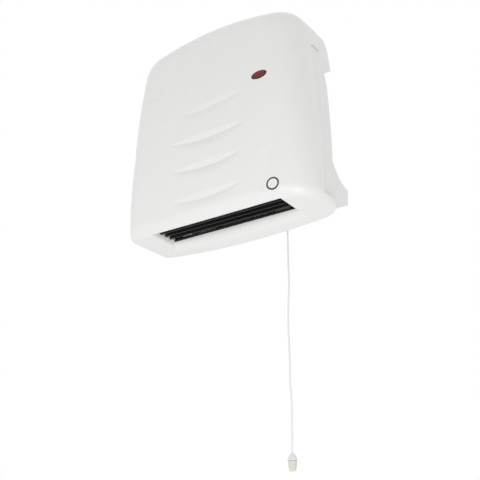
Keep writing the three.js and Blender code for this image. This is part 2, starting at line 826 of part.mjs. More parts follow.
// One blade's section: an arc from the inner to the outer radius, thin and swept forward.
function bladeSection(start) {
  const steps = 2;
  const side = (offset) => Array.from({ length: steps + 1 }, (unused, i) => {
    const share = i / steps;
    const radius = fanInner + (fanRadius - 0.4 - fanInner) * share;
    const angle = start + fanBladeSweep * share * share + offset / radius;
    return [radius * Math.cos(angle), radius * Math.sin(angle)];
  });
  return outlineOf([...side(0), ...side(fanBladeThick).reverse()]);
}

function makeFanRotor() {
  const disc = (x0, x1) => barX(fanRadius, x0, x1, 0, 0, 24);
  const ring = cut(disc(-fanDisc / 2, fanDisc / 2), barX(fanInner, -fanDisc, fanDisc, 0, 0, 24));
  let body = join(
    disc(-fanHalf, -fanHalf + fanDisc),
    disc(fanHalf - fanDisc, fanHalf),
    barX(hubRadius, -fanHalf, -fanHalf + hubLong, 0, 0),
    barX(hubRadius, fanHalf - hubLong, fanHalf, 0, 0),
  );
  for (let i = 0; i < fanBlades; i += 1) {
    const blade = prismX(bladeSection((2 * Math.PI * i) / fanBlades), -fanHalf + fanDisc / 2,
      fanHalf - fanDisc / 2);
    body = join(body, blade);
  }
  body = join(body, ring);
  const bore = shaftRadius + gap;
  return cut(body, barX(bore, -fanHalf - 1, -fanHalf + hubLong - 1, 0, 0),
    barX(bore, fanHalf - hubLong + 1, fanHalf + 1, 0, 0));
}

const motorInner = endPlateAt + plateThick + motorStandoff;
const motorOuter = motorInner + stator.thick;
const bracketAt = motorOuter + gap;
const bearingEnd = bracketAt + bearingLong;

add('fan_rotor', makeFanRotor(), zinc, fan);
add('fan_stub_shaft', barX(shaftRadius, -endPlateAt - plateThick - 4, -fanHalf + hubLong - 1.3,
  0, 0), steel, fan);
add('motor_shaft', barX(shaftRadius, fanHalf - hubLong + 1.3, bearingEnd - 0.5, 0, 0), steel, fan);
const motorMiddle = (motorInner + motorOuter) / 2;
add('motor_rotor', cut(
  barX(motorRotorRadius, motorMiddle - motorRotorLong / 2, motorMiddle + motorRotorLong / 2,
    0, 0, 24),
  barX(shaftRadius + gap, motorInner, motorOuter, 0, 0),
), siliconSteel, fan);

// A flanged bush, its barrel centred on the sheet that carries it.
function makeBearing(x0, x1, flange0, flange1) {
  return cut(
    join(barX(bearingRadius, x0, x1, 0, 0), barX(bearingFlange, flange0, flange1, 0, 0)),
    barX(shaftRadius + gap, x0 - 1, x1 + 1, 0, 0),
  );
}
const plateOuter = endPlateAt + plateThick;
add('bearing_left', makeBearing(-plateOuter - 2.5, -endPlateAt + 0.8, -plateOuter - gap - 1.4,
  -plateOuter - gap), rubber, fan);
const bracketOuter = bracketAt + bracketThick;
add('bearing_right', makeBearing(bracketAt - 0.5, bearingEnd, bracketOuter + gap,
  bracketOuter + gap + 1.4), brass, fan);

function makeStator() {
  const half = stator.wide / 2;
  const shape = outlineOf([[-half, -stator.low], [half, -stator.low], [half, stator.high - 8],
    [half - 8, stator.high], [-half + 8, stator.high], [-half, stator.high - 8]]);
  let body = prismX(shape, motorInner, motorOuter);
  body = cut(body, barX(motorBore, motorInner - 1, motorOuter + 1, 0, 0, 24));
  const windowLow = -stator.low + stator.limb;
  body = cut(body, box(motorInner - 1, motorOuter + 1, -stator.windowWide / 2,
    stator.windowWide / 2, windowLow, windowLow + stator.windowTall));
  motorScrewSpots.forEach(([y, z]) => {
    body = cut(body, barX(motorScrewRadius + gap, motorInner - 1, motorOuter + 1, y, z, 12));
  });
  return body;
}
const motorScrewSpots = [[-17.5, -17], [17.5, -17]];
add('motor_stator', makeStator(), siliconSteel, fan);

const limbMiddle = -stator.low + stator.limb / 2;
const coilHole = stator.limb / 2 + gap;
add('motor_coil', cut(
  box(motorInner - motorStandoff + gap, motorOuter + coilBuild, -coilWide / 2, coilWide / 2,
    limbMiddle - coilHole - coilBuild, limbMiddle + coilHole + coilBuild),
  box(motorInner - gap, motorOuter + gap, -coilWide, coilWide,
    limbMiddle - coilHole, limbMiddle + coilHole),
), copper, fan);

// The bracket ties the two screws to the outer bearing.
function makeBracket() {
  const shape = new THREE.Shape();
  const eyeAngle = Math.asin(bracket.neck / bracket.eye);
  shape.moveTo(-bracket.half, bracket.foot);
  shape.lineTo(bracket.half, bracket.foot);
  shape.lineTo(bracket.half, bracket.shoulder);
  shape.lineTo(bracket.neckHalf, bracket.neck);
  shape.absarc(0, 0, bracket.eye, eyeAngle, Math.PI - eyeAngle, false);
  shape.lineTo(-bracket.half, bracket.shoulder);
  let body = prismX(shape, bracketAt, bracketOuter, 6);
  body = cut(body, barX(bearingRadius + gap, bracketAt - 1, bracketOuter + 1, 0, 0));
  motorScrewSpots.forEach(([y, z]) => {
    body = cut(body, barX(motorScrewRadius + gap, bracketAt - 1, bracketOuter + 1, y, z, 12));
  });
  return body;
}
add('motor_bracket', makeBracket(), zinc, fan);

motorScrewSpots.forEach(([y, z], i) => {
  add(`motor_screw_${i + 1}`, join(
    barX(motorScrewRadius, endPlateAt + plateThick / 2, bracketOuter + gap + 0.5, y, z, 12),
    barX(motorScrewRadius * 2, bracketOuter + gap, bracketOuter + gap + 2, y, z, 12),
  ), zinc, fan);
});

// ---- end plates and air guides

const guideRear = (z) => recessAt(z) - casingWall - gap;

function makeEndPlate(side) {
  const x0 = side > 0 ? endPlateAt : -plateOuter;
  const top = fanZ + fanRadius + plateHead.above;
  const cheek = fanY - fanRadius - plateLip;
  const low = recessLowZ + 3;
  const high = recessHighZ - 2;
  const shape = outlineOf([
    [-neckFront - neckWall, guideFoot], [-neckRear, guideFoot], [-neckRear, plateShoulder],
    [guideRear(low), low], [guideRear(high), high], [fanY + plateHead.rear, top],
    [fanY - plateHead.front, top], [cheek, fanZ + plateHead.cheekUp],
    [cheek, fanZ - plateHead.cheekDown],
  ]);
  let body = prismX(shape, x0, x0 + plateThick);
  const hole = side > 0 ? hubRadius + 2 : bearingRadius + gap;
  body = cut(body, barX(hole, x0 - 1, x0 + plateThick + 1, fanY, fanZ));
  if (side > 0) {
    motorScrewSpots.forEach(([y, z]) => {
      body = cut(body, barX(motorScrewRadius + gap, x0 - 1, x0 + plateThick + 1,
        fanY + y, fanZ + z, 12));
    });
    return body;
  }
  [elementRuns[0], elementRuns.at(-1)].forEach((y) => {
    body = cut(body, barX(elementRadius + gap, x0 - 1, x0 + plateThick + 1, y, elementZ, 14));
  });
  return body;
}
add('fan_end_plate_left', makeEndPlate(-1), zinc);
add('fan_end_plate_right', makeEndPlate(1), zinc);

// A bent sheet: an outline and the same outline one thickness further out, run along X.
function bentSheet(points) {
  const outwards = points.map(([y, z], i) => {
    const [ay, az] = points[Math.max(i - 1, 0)];
    const [by, bz] = points[Math.min(i + 1, points.length - 1)];
    const long = Math.hypot(by - ay, bz - az);
    return [y - (sheet * (bz - az)) / long, z + (sheet * (by - ay)) / long];
  });
  const end = endPlateAt - gap;
  return prismX(outlineOf([...points, ...outwards.reverse()]), -end, end);
}

function makeScrollPlate() {
  const points = [];
  const steps = 12;
  for (let i = 0; i <= steps; i += 1) {
    const angle = scrollFrom + ((scrollTo - scrollFrom) * i) / steps;
    const radius = fanRadius + scrollNear + ((scrollFar - scrollNear) * i) / steps;
    points.push([fanY + radius * Math.cos(angle), fanZ + radius * Math.sin(angle)]);
  }
  points.push(...scrollKnees, [-neckFront - 1, guideFoot]);
  return bentSheet(points.reverse());
}
add('scroll_plate', makeScrollPlate(), zinc);

function makeVortexPlate() {
  const radius = fanRadius + scrollNear;
  const tip = [fanY + radius * Math.cos(tongueAngle), fanZ + radius * Math.sin(tongueAngle)];
  return bentSheet([
    [-neckRear, guideFoot], ...vortexKnees, [tip[0] + 1.2, tip[1] - 5], tip,
  ].reverse());
}
add('vortex_plate', makeVortexPlate(), zinc);

// ---- heating element: one sheathed tube, four passes across the duct

function makeElement() {
  const corners = [[-elementTail, elementRuns[0], elementZ]];
  elementRuns.forEach((y, i) => {
    const end = i % 2 === 0 ? elementReach : -elementReach;
    if (i === elementRuns.length - 1) return;
    corners.push([end, y, elementZ], [end, elementRuns[i + 1], elementZ]);
  });
  corners.push([-elementTail, elementRuns.at(-1), elementZ]);
  const bend = (elementRuns[1] - elementRuns[0]) / 2 - 0.05;
  return bentTube(corners, bend, elementRadius, 8);
}
add('heating_element', makeElement(), sheathSteel);

[-1, 1].forEach((side) => {
  const x = side * supportAt;
  let body = box(x - supportThick / 2, x + supportThick / 2, -neckFront - 1 + sheet + gap,
    -neckRear - sheet - gap, supportLow, supportHigh);
  elementRuns.forEach((y) => {
    body = cut(body, barX(elementRadius + gap, x - 2, x + 2, y, elementZ, 14));
  });
  add(side < 0 ? 'element_support_left' : 'element_support_right', body, mica);
});

// ---- wiring

const cutoutSeat = -41.7 + gap;
add('thermal_cutout', join(
  barY(cutout.radius, cutoutSeat, cutoutSeat + cutout.tall, cutout.x, cutout.z),
  box(cutout.x - 12, cutout.x + 12, cutoutSeat, cutoutSeat + 1, cutout.z - 3.5, cutout.z + 3.5),
), blackPlastic);

const terminalPitch = terminal.long / 3;
const terminalScrewX = [-1, 0, 1].map((i) => terminal.x + i * terminalPitch);
const terminalMiddle = -(terminal.front + terminal.rear) / 2;
const terminalWellFloor = terminal.top - 6;
let terminalBody = box(terminal.x - terminal.long / 2, terminal.x + terminal.long / 2,
  -terminal.front, -terminal.rear, terminalFoot, terminal.top);
terminalScrewX.forEach((x) => {
  terminalBody = cut(terminalBody, barZ(terminalScrew + gap, terminalWellFloor, terminal.top + 1,
    x, terminalMiddle, 14));
});
add('terminal_block', terminalBody, nylon);
terminalScrewX.forEach((x, i) => {
  const top = terminalWellFloor + gap + 3;
  add(`terminal_screw_${i + 1}`, cut(
    barZ(terminalScrew, terminalWellFloor + gap, top, x, terminalMiddle, 14),
    box(x - 3, x + 3, terminalMiddle - 0.35, terminalMiddle + 0.35, top - 1, top + 1),
  ), brass);
});

const clampY = -(clamp.front + clamp.rear) / 2;
const clampTop = clampFoot + clamp.thick;
const clampScrewX = [-1, 1].map((side) => clamp.x + side * clamp.screws);
let clampBody = box(clamp.x - clamp.half, clamp.x + clamp.half, -clamp.front, -clamp.rear,
  clampFoot, clampTop);
clampScrewX.forEach((x) => {
  clampBody = cut(clampBody, barZ(motorScrewRadius + gap, clampFoot - 1, clampTop + 1, x, clampY,
    12));
});
add('cable_clamp', clampBody, nylon);
clampScrewX.forEach((x, i) => {
  add(`clamp_screw_${i + 1}`, join(
    barZ(motorScrewRadius, clampFoot + gap, clampTop + gap + 0.5, x, clampY, 12),
    barZ(screwHead, clampTop + gap, clampTop + gap + 1.8, x, clampY, 12),
  ), zinc);
});

const leadBend = 4;
const leadZ = terminal.top - 4.5;
const neutralAt = -elementTail - 3;
add('live_lead', bentTube([
  [terminal.x + terminal.long / 2 + gap, terminalMiddle, leadZ],
  [cordX - switchHalf - gap, terminalMiddle, leadZ],
], leadBend, leadRadius), finish(0x6b3f22, 0.5));
add('neutral_lead', bentTube([
  [terminal.x - terminal.long / 2 - gap, terminalMiddle, leadZ],
  [neutralAt, terminalMiddle, leadZ],
  [neutralAt, elementRuns.at(-1), leadZ],
  [neutralAt, elementRuns.at(-1), elementZ - elementRadius - gap - leadRadius],
], leadBend, leadRadius), finish(0x2c4f9e, 0.5));
add('earth_lead', bentTube([
  [terminal.x - 6, -terminal.front - gap, leadZ - 4],
  [terminal.x - 6, -31.5, leadZ - 4],
  [-plateOuter - gap - leadRadius, -31.5, leadZ - 4],
  [-plateOuter - gap - leadRadius, -62, leadZ - 4],
], leadBend, leadRadius), finish(0x7da23c, 0.5));

// ---- pull switch

const boreTop = switchTop - switchWall;
const boreFoot = switchFoot + switchWall;
add('pull_switch_body', cut(
  box(cordX - switchHalf, cordX + switchHalf, -switchFront, -switchRear, switchFoot, switchTop),
  barZ(switchBore, boreFoot, boreTop, cordX, cordY),
  barZ(stemRadius + gap, switchFoot - 1, boreFoot + 1, cordX, cordY, 16),
), nylon);

const headTop = boreTop - gap;
const headFoot = headTop - plungerHeadTall;
add('switch_plunger', join(
  barZ(plungerHead, headFoot, headTop, cordX, cordY),
  barZ(stemRadius, stemFoot, headFoot + 0.5, cordX, cordY, 16),
), nylon);

class Helix extends THREE.Curve {
  getPoint(u, target = new THREE.Vector3()) {
    const angle = 2 * Math.PI * springTurns * u;
    const low = boreFoot + gap + springWire;
    const high = headFoot - gap - springWire;
    return target.set(cordX + springCoil * Math.cos(angle), cordY + springCoil * Math.sin(angle),
      low + (high - low) * u);
  }
}
add('switch_spring', tube(new Helix(), springTurns * 8, springWire, 5), steel);

add('cord_guide', cut(
  join(barZ(guideBarrel, guideFlangeFoot, switchFoot - gap, cordX, cordY),
    barZ(guideFlange, guideFlangeFoot, guideFlangeTop, cordX, cordY)),
  barZ(stemRadius + gap + 0.2, 0, switchFoot + 1, cordX, cordY, 16),
), nylon);

// ---- cord: it hangs from the plunger's stem, with the small waves of a cord that was wound

const cordRoute = [
  [0, 0, 1.7], [0, 0, -8], [0, 0, -22], [0, 0.1, -36], [0.1, 0.1, -52], [0.45, 0, -65],
  [0.1, 0, -76], [-1, -0.1, -90], [-1.6, 0, -106], [-1.7, 0.1, -119], [-1.15, 0.1, -133],
  [-0.8, 0, -150], [-0.75, -0.1, -168], [-0.75, 0, -180], [0.2, 0, -192], [0.35, 0.1, -204],
  [0.1, 0.1, -222], [0, 0, -238], [0, 0, cordEnd],
];
const cordPath = new THREE.CatmullRomCurve3(cordRoute.map(([x, y, z]) =>
  new THREE.Vector3(cordX + x, cordY + y, z)));
add('pull_cord', tube(cordPath, 45, cordRadius, 7), cordWhite);

const pullTop = cordEnd - gap;
const capFoot = pullTop - pullCapTall;
const pullFoot = pullTop - pullTall;
const cap = turned([[0, capFoot], [pullRadius, capFoot], [pullRadius, capFoot + 0.9],
  [pullRadius * 0.94, capFoot + 2.1], [pullRadius * 0.8, capFoot + 3.5],
  [pullRadius * 0.64, capFoot + 4.9], [pullRadius * 0.53, capFoot + 6.1],
  [pullRadius * 0.47, pullTop], [0, pullTop]]);
const cup = turned([[0, pullFoot], [pullRadius * 0.42, pullFoot], [pullRadius * 0.57, pullFoot + 0.4],
  [pullRadius * 0.66, pullFoot + 1.5], [pullRadius * 0.76, pullFoot + 4.6],
  [pullRadius * 0.82, pullFoot + 8], [pullRadius * 0.84, capFoot - gap], [0, capFoot - gap]]);
const placed = (body) => body.translate([cordX, cordY, 0]);
add('cord_pull_cap', placed(cap), whitePlastic);
add('cord_pull_cup', placed(cup), cordWhite);

// ---- cover screws, driven from the wall side through the casing's posts

[-1, 1].forEach((side) => {
  const x = side * post.x;
  const seat = -post.meet + gap + 2.2 + gap;
  add(side < 0 ? 'cover_screw_left' : 'cover_screw_right', join(
    barY(screwHead, seat, seat + screwHeadTall, x, post.z, 14),
    barY(screwShank, seat - screwLong, seat + 0.5, x, post.z, 12),
  ), zinc);
});

heater.position.z = -mountHeight;

export default heater;
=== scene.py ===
# %% [markdown]
# # A bathroom wall fan heater
#
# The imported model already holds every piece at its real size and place, in metres, with +Y
# towards the wall and +Z up. This file dresses it. The pieces that the eye rests on are made
# again with finer surfaces: the moulded cover, the louvre, the red lens, and the pull cord.
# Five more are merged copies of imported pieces, which are changed a little. All the others keep
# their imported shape, and every piece gets the finish of its material.

import json
import math

import bmesh
import bpy
from mathutils import Matrix, Vector


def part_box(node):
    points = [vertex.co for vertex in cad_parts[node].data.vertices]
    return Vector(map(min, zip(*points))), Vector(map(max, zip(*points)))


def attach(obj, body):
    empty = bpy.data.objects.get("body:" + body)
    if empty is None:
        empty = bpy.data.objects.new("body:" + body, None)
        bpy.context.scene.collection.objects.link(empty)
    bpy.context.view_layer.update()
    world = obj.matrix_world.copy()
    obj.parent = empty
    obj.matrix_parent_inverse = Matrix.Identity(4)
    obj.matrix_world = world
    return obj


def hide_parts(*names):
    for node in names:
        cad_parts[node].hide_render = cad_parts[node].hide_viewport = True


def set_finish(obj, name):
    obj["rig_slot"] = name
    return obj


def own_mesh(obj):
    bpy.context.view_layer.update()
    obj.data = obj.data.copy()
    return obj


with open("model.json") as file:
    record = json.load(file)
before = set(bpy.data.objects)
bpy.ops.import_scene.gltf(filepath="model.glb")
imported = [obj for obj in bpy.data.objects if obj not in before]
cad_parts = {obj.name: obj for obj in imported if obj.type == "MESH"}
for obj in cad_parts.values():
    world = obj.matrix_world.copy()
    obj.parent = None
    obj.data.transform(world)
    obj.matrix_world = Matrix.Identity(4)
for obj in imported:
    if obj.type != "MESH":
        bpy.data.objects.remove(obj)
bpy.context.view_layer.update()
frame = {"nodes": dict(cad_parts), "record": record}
MM = 0.001

# %% [markdown]
# ## Where the camera stands
#
# The photograph looks up at the heater from its lower right. The place, aim and lens here
# were found by fitting the heater's outline to the photograph. The picture's centre lies a
# little beside the optical axis, which a small shift takes care of.

# %% Camera
CAMERA_PLACE = Vector((0.5749, -0.8472, -0.6191))
CAMERA_AIM = Vector((-0.5387, 0.7549, 0.3741))
CAMERA_LENS = 71.39
CAMERA_SHIFT = 0.0078

camera_data = bpy.data.cameras.new("photo_camera")
camera_data.lens = CAMERA_LENS
camera_data.sensor_width = 36
camera_data.shift_x = CAMERA_SHIFT
camera_data.clip_start = 0.01
camera = bpy.data.objects.new("photo_camera", camera_data)
camera.location = CAMERA_PLACE
camera.rotation_euler = CAMERA_AIM.to_track_quat("-Z", "Y").to_euler()
bpy.context.scene.collection.objects.link(camera)
bpy.context.scene.camera = camera
print("camera", tuple(camera.location))

# %% [markdown]
# ## Small tools
#
# Each piece starts as a bmesh, which Blender's own operators shape. `make_piece` turns it into
# an object at the origin, smooth all over apart from the edges that are truly sharp, hangs it on
# the empty of the body it moves with, hides the imported piece it stands for, and gives it that
# piece's material slot.

# %% Turning a bmesh into a piece
SHARP = math.radians(38)
SAME_POINT = 1e-7
POLE_MERGE = 1e-6  # joins a turned piece's points where its outline meets the axis
slot_of = {part["node"]: part["material_slot"] for part in frame["record"]["subparts"]}
body_of = {node: body for body, nodes in frame["record"]["behaviour"]["bodies"].items()
           for node in nodes}


def make_piece(bm, name, node, sharp=SHARP, outwards=True):
    """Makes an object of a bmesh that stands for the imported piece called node."""
    bmesh.ops.remove_doubles(bm, verts=bm.verts, dist=SAME_POINT)
    if outwards:
        bmesh.ops.recalc_face_normals(bm, faces=bm.faces)
    mesh = bpy.data.meshes.new(name)
    bm.to_mesh(mesh)
    bm.free()
    mesh.shade_smooth()
    mesh.set_sharp_from_angle(angle=sharp)
    piece = bpy.data.objects.new(name, mesh)
    bpy.context.scene.collection.objects.link(piece)
    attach(piece, body_of[node])
    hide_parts(node)
    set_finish(piece, slot_of[node])
    print(name, len(mesh.polygons), "faces")
    return piece


def round_edges(piece, width):
    """Breaks the sharp edges, as a mould or a tool does."""
    bevel = piece.modifiers.new("edge_round", "BEVEL")
    bevel.width = width
    bevel.segments = 2
    bevel.limit_method = "ANGLE"
    bevel.angle_limit = SHARP
    bevel.harden_normals = True
    return piece


def turned(outline, steps=64):
    """Spins an outline of (radius, height) points in millimetres round the Z axis."""
    bm = bmesh.new()
    verts = [bm.verts.new((radius * MM, 0, height * MM)) for radius, height in outline]
    edges = [bm.edges.new(pair) for pair in zip(verts, verts[1:])]
    bmesh.ops.spin(bm, geom=verts + edges, axis=(0, 0, 1), angle=math.tau, steps=steps,
                   use_merge=True)
    bmesh.ops.remove_doubles(bm, verts=bm.verts, dist=POLE_MERGE)
    return bm


def arc(centre, radius, start, end, steps):
    """Points on an arc, in degrees, for the outline of a turned piece."""
    angles = [math.radians(start + (end - start) * i / steps) for i in range(steps + 1)]
    return [(centre[0] + radius * math.cos(a), centre[1] + radius * math.sin(a)) for a in angles]


# %% [markdown]
# ## The pull cord
#
# A limp white braided cord, 2 mm thick, hangs from the switch's stem. A cord that was wound
# round a card keeps small waves, so its line is a smooth curve through a few given points.
# The braid could be a bump in the material, but then the cord's edge would be dead straight, so
# it is real shape: a ring is extruded along the line, and two waves that turn opposite ways
# press its radius in and out, so that two sets of strands seem to cross.

# %% Cord line
CORD_X = 0.0495
CORD_Y = -0.012
CORD_RADIUS = 0.001
RIM = -0.207  # height of the cover's bottom rim, where 0 is the middle of the wall mount

cord_route = [
    (0, 0, 1.7), (0, 0, -8), (0, 0, -22), (0, 0.1, -36), (0.1, 0.1, -52), (0.45, 0, -65),
    (0.1, 0, -76), (-1, -0.1, -90), (-1.6, 0, -106), (-1.7, 0.1, -119), (-1.15, 0.1, -133),
    (-0.8, 0, -150), (-0.75, -0.1, -168), (-0.75, 0, -180), (0.2, 0, -192), (0.35, 0.1, -204),
    (0.1, 0.1, -222), (0, 0, -238), (0, 0, -250.7),
]
cord_points = [Vector((CORD_X + x * MM, CORD_Y + y * MM, RIM + z * MM)) for x, y, z in cord_route]


def smooth_line(points, steps):
    """A Catmull-Rom curve through the points."""
    line = []
    for i in range(len(points) - 1):
        before = points[max(i - 1, 0)]
        start, end = points[i], points[i + 1]
        after = points[min(i + 2, len(points) - 1)]
        for step in range(steps):
            t = step / steps
            line.append(0.5 * (2 * start + (end - before) * t
                               + (2 * before - 5 * start + 4 * end - after) * t * t
                               + (3 * start - before - 3 * end + after) * t ** 3))
    return line + [points[-1]]


cord_line = smooth_line(cord_points, steps=18)

# %% Cord body
CORD_SIDES = 16
CORD_LOBES = 4
CORD_LAY = 0.011  # length of one full turn of the strands
CORD_RELIEF = 0.05  # share of the radius that the strands press in and out
CORD_SHARP = math.radians(80)  # so wide that the strands stay smooth


def make_cord():
    bm = bmesh.new()
    spoke = bm.verts.layers.float.new("spoke")
    ring = bmesh.ops.create_circle(bm, segments=CORD_SIDES, radius=1, cap_ends=False)["verts"]
    for v in ring:
        v[spoke] = math.atan2(v.co.y, v.co.x)
    first = edges = list(bm.edges)
    travelled = 0
    for i, point in enumerate(cord_line):
        if i:
            made = bmesh.ops.extrude_edge_only(bm, edges=edges)["geom"]
            ring = [g for g in made if isinstance(g, bmesh.types.BMVert)]
            edges = [g for g in made if isinstance(g, bmesh.types.BMEdge)]
            travelled += (point - cord_line[i - 1]).length
        turn = math.tau * travelled / CORD_LAY
        for v in ring:
            angle = v[spoke]
            weave = math.sin(CORD_LOBES * angle + turn) * math.sin(CORD_LOBES * angle - turn)
            radius = CORD_RADIUS * (1 - CORD_RELIEF + CORD_RELIEF * weave)
            v.co = point + Vector((math.cos(angle), math.sin(angle), 0)) * radius
    bmesh.ops.holes_fill(bm, edges=first + edges, sides=0)
    return make_piece(bm, "braided_cord", "pull_cord", sharp=CORD_SHARP)


cord = make_cord()

# %% [markdown]
# ## The cord pull
#
# Two mouldings: a domed cap with a small rim, and a tapered cup below it. They could be cones
# with rounded edges, but both are turned shapes, so half an outline spun round the cord's axis
# gives every step of them at once. The cap's crown ends in a neck that the cord drops into.

# %% Cap and cup
cap_low, cap_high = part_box("cord_pull_cap")
cup_low, cup_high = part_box("cord_pull_cup")


def place_on_cord(bm, height):
    bmesh.ops.translate(bm, verts=bm.verts, vec=(CORD_X, CORD_Y, height))
    return bm


CAP_RIM_ROUND, CAP_STEP_ROUND, CAP_NECK_DEEP = 0.35, 0.3, 0.5
cap_wide = (cap_high.x - cap_low.x) / MM / 2
cap_tall = (cap_high.z - cap_low.z) / MM
cap_outline = [(0, 0), (cap_wide - CAP_RIM_ROUND, 0)]
cap_outline += arc((cap_wide - CAP_RIM_ROUND, CAP_RIM_ROUND), CAP_RIM_ROUND, -90, 0, 4)
cap_outline += arc((cap_wide - CAP_STEP_ROUND, 0.9), CAP_STEP_ROUND, 0, 60, 3)
cap_outline += [(5.1, 1.9), (4.75, 2.7), (4.3, 3.5), (3.75, 4.4), (3.3, 5.2), (2.95, 6),
                (2.7, cap_tall - 0.2), (2.5, cap_tall), (1.5, cap_tall),
                (1.25, cap_tall - CAP_NECK_DEEP), (0, cap_tall - CAP_NECK_DEEP)]
cap = make_piece(place_on_cord(turned(cap_outline), cap_low.z), "pull_cap", "cord_pull_cap")

CUP_FOOT, CUP_FOOT_ROUND = 2.3, 1.4
cup_tall = (cup_high.z - cup_low.z) / MM
cup_outline = [(0, 0), (CUP_FOOT, 0)]
cup_outline += arc((CUP_FOOT, CUP_FOOT_ROUND), CUP_FOOT_ROUND, -90, -8, 6)
cup_outline += [(3.92, 2.8), (4.15, 4.6), (4.38, 6.6), (4.54, cup_tall - 1.4),
                (4.6, cup_tall - 0.3), (4.45, cup_tall), (0, cup_tall)]
cup = make_piece(place_on_cord(turned(cup_outline), cup_low.z), "pull_cup", "cord_pull_cup")

# %% [markdown]
# ## The front cover
#
# One thin moulding makes the heater's face, sides, top and underside. Its outline is an arch
# that tapers upwards, and its face bows out and rolls back over its edges. The way here is a
# flat grid for the face, bent by a formula, whose rim is then extruded backwards ring by ring:
# over the round edge first, then straight towards the wall. A box with bevelled edges would be
# quicker, but its edges couldn't grow wider and tighter along the way as these do. All sizes in
# this part are in millimetres from the bottom rim, and become metres when they are placed.

# %% Cover sizes
HALF_LOW = 124.4  # half the width at the bottom, and then at the top
HALF_TOP = 108.5
TAPER_EVEN = 0.4  # the share of the taper that is straight; the rest quickens upwards
SIDE_BOW = 1.8
BOW_LOW = 2.5  # how much more the sides bow low down than high up
TALL = 251
CROWN = 18.3
TOP_CORNER = 19.6
DEEP = 92.7
FACE_BOW = 11.5
FACE_LEAN = 2
LEAN_EVEN = 0.3
FACE_WRAP = 3.6
EDGE_ROUND = 35
LEFT_TIGHTER = 19  # how much tighter the left corner is at the bottom rim
LEFT_TIGHT_TO = 100  # and the height where it is as wide as the right one
LEFT_FROM, LEFT_FADE = 20, 60
LIP_ROUND = 12  # radius of the roll below the face, and then below the left and right side
SIDE_LIP = {-1: 4, 1: 9}
LIP_FROM = 0.01  # a point above this is on the face or a side, and others are underneath
REAR = 16.6  # how far the cover's rear edge stands from the wall, and the same at its top
TOP_REAR = 35
WALL = 3
SAG, SAG_TALL = 7.1, 20  # how far the underside hangs, and how high up that has faded out
SAG_PAST_REAR, SAG_BELOW_RIM = 1.3, 1.2  # how much it may grow behind and below the cover

FACE_COLUMNS, FACE_ROWS = 84, 176
ROUND_STEPS, SIDE_STEPS = 14, 6
print("cover", 2 * HALF_LOW, "mm wide and", TALL + SAG, "mm tall")


def blend_in(value):
    t = min(max(value, 0), 1)
    return t * t * (3 - 2 * t)


def half_width(z):
    t = z / TALL
    taper = (HALF_LOW - HALF_TOP) * (TAPER_EVEN * t + (1 - TAPER_EVEN) * t * t)
    return HALF_LOW - taper + SIDE_BOW * 4 * t * (1 - t) * (1 + BOW_LOW * (0.5 - t))


def face_y(x, z):
    t = z / TALL
    across = x / HALF_LOW
    return (-DEEP - FACE_LEAN * (LEAN_EVEN * t + (1 - LEAN_EVEN) * t * t)
            - FACE_BOW * 4 * t * (1 - t)
            + FACE_WRAP * across * across)


def corner_round(x, z):
    """The plan radius: the left corner gets tighter towards the bottom."""
    low = max(1 - z / LEFT_TIGHT_TO, 0)
    return EDGE_ROUND - LEFT_TIGHTER * low * blend_in((LEFT_FROM - x) / LEFT_FADE)


def foot_rounded(point):
    """Rolls the bottom edge under, widely below the face and tightly below the sides."""
    corner = corner_round(point.x, point.z)
    past = max(abs(point.x) - half_width(point.z) + corner, 0)
    ahead = max(face_y(point.x, point.z) + corner - point.y, 0)
    side = 1 if point.x > 0 else -1
    if ahead == 0:
        inside, out = half_width(point.z) - abs(point.x), Vector((side, 0, 0))
    else:
        reach = math.hypot(past, ahead)
        inside, out = corner - reach, Vector((side * past, -ahead, 0)) / reach
    radius = LIP_ROUND + (SIDE_LIP[side] - LIP_ROUND) * out.x ** 2
    along = -point.z / radius if point.z > LIP_FROM else inside / radius
    if abs(along) >= 1:
        return point
    angle = math.pi / 4 * (1 + along)
    rolled = point - out * (radius * (1 - math.cos(angle)) - max(inside, 0))
    rolled.z = radius * (1 - math.sin(angle))
    return rolled


def sagged(point):
    """The underside hangs lower towards the wall, most in the middle."""
    across = 1 - (point.x / HALF_LOW) ** 2
    back = min(max((point.y + DEEP) / (DEEP - REAR), 0), SAG_PAST_REAR)
    low = min(max(1 - point.z / SAG_TALL, 0), SAG_BELOW_RIM)
    return point - Vector((0, 0, SAG * across * back * low))


def skin_point(flat_x, flat_z, turn, rearwards=0.0):
    """A point of the skin: turn is 1 on the face and 0 where the round edge meets the side."""
    angle = turn * math.pi / 2
    pull = 1 - math.cos(angle)
    z = flat_z * (TALL - EDGE_ROUND * pull) / TALL
    corner = corner_round(flat_x, z)
    x = flat_x / HALF_LOW * (half_width(z) - corner * pull)
    t = z / TALL
    z -= CROWN * (x / HALF_TOP) ** 2 * t * t
    y = face_y(x, z) + corner * (1 - math.sin(angle))
    y += (-REAR - y) * rearwards
    dent = (crescent_depth(x, z) + flank_depth(x, z)) * max(2 * turn - 1, 0)
    return sagged(foot_rounded(Vector((x, y, z)))) + Vector((0, dent, 0))


# %% [markdown]
# The face carries four shallow crescents, each like the edge of an overlapping scale: the wall
# above the crease curls in, and the ground below it eases back out. Beside them a long S-shaped
# crease runs down the right. A cutter would leave hard edges, so both are worked out as a depth
# at each point of the face, which eases in and out as a mould does.

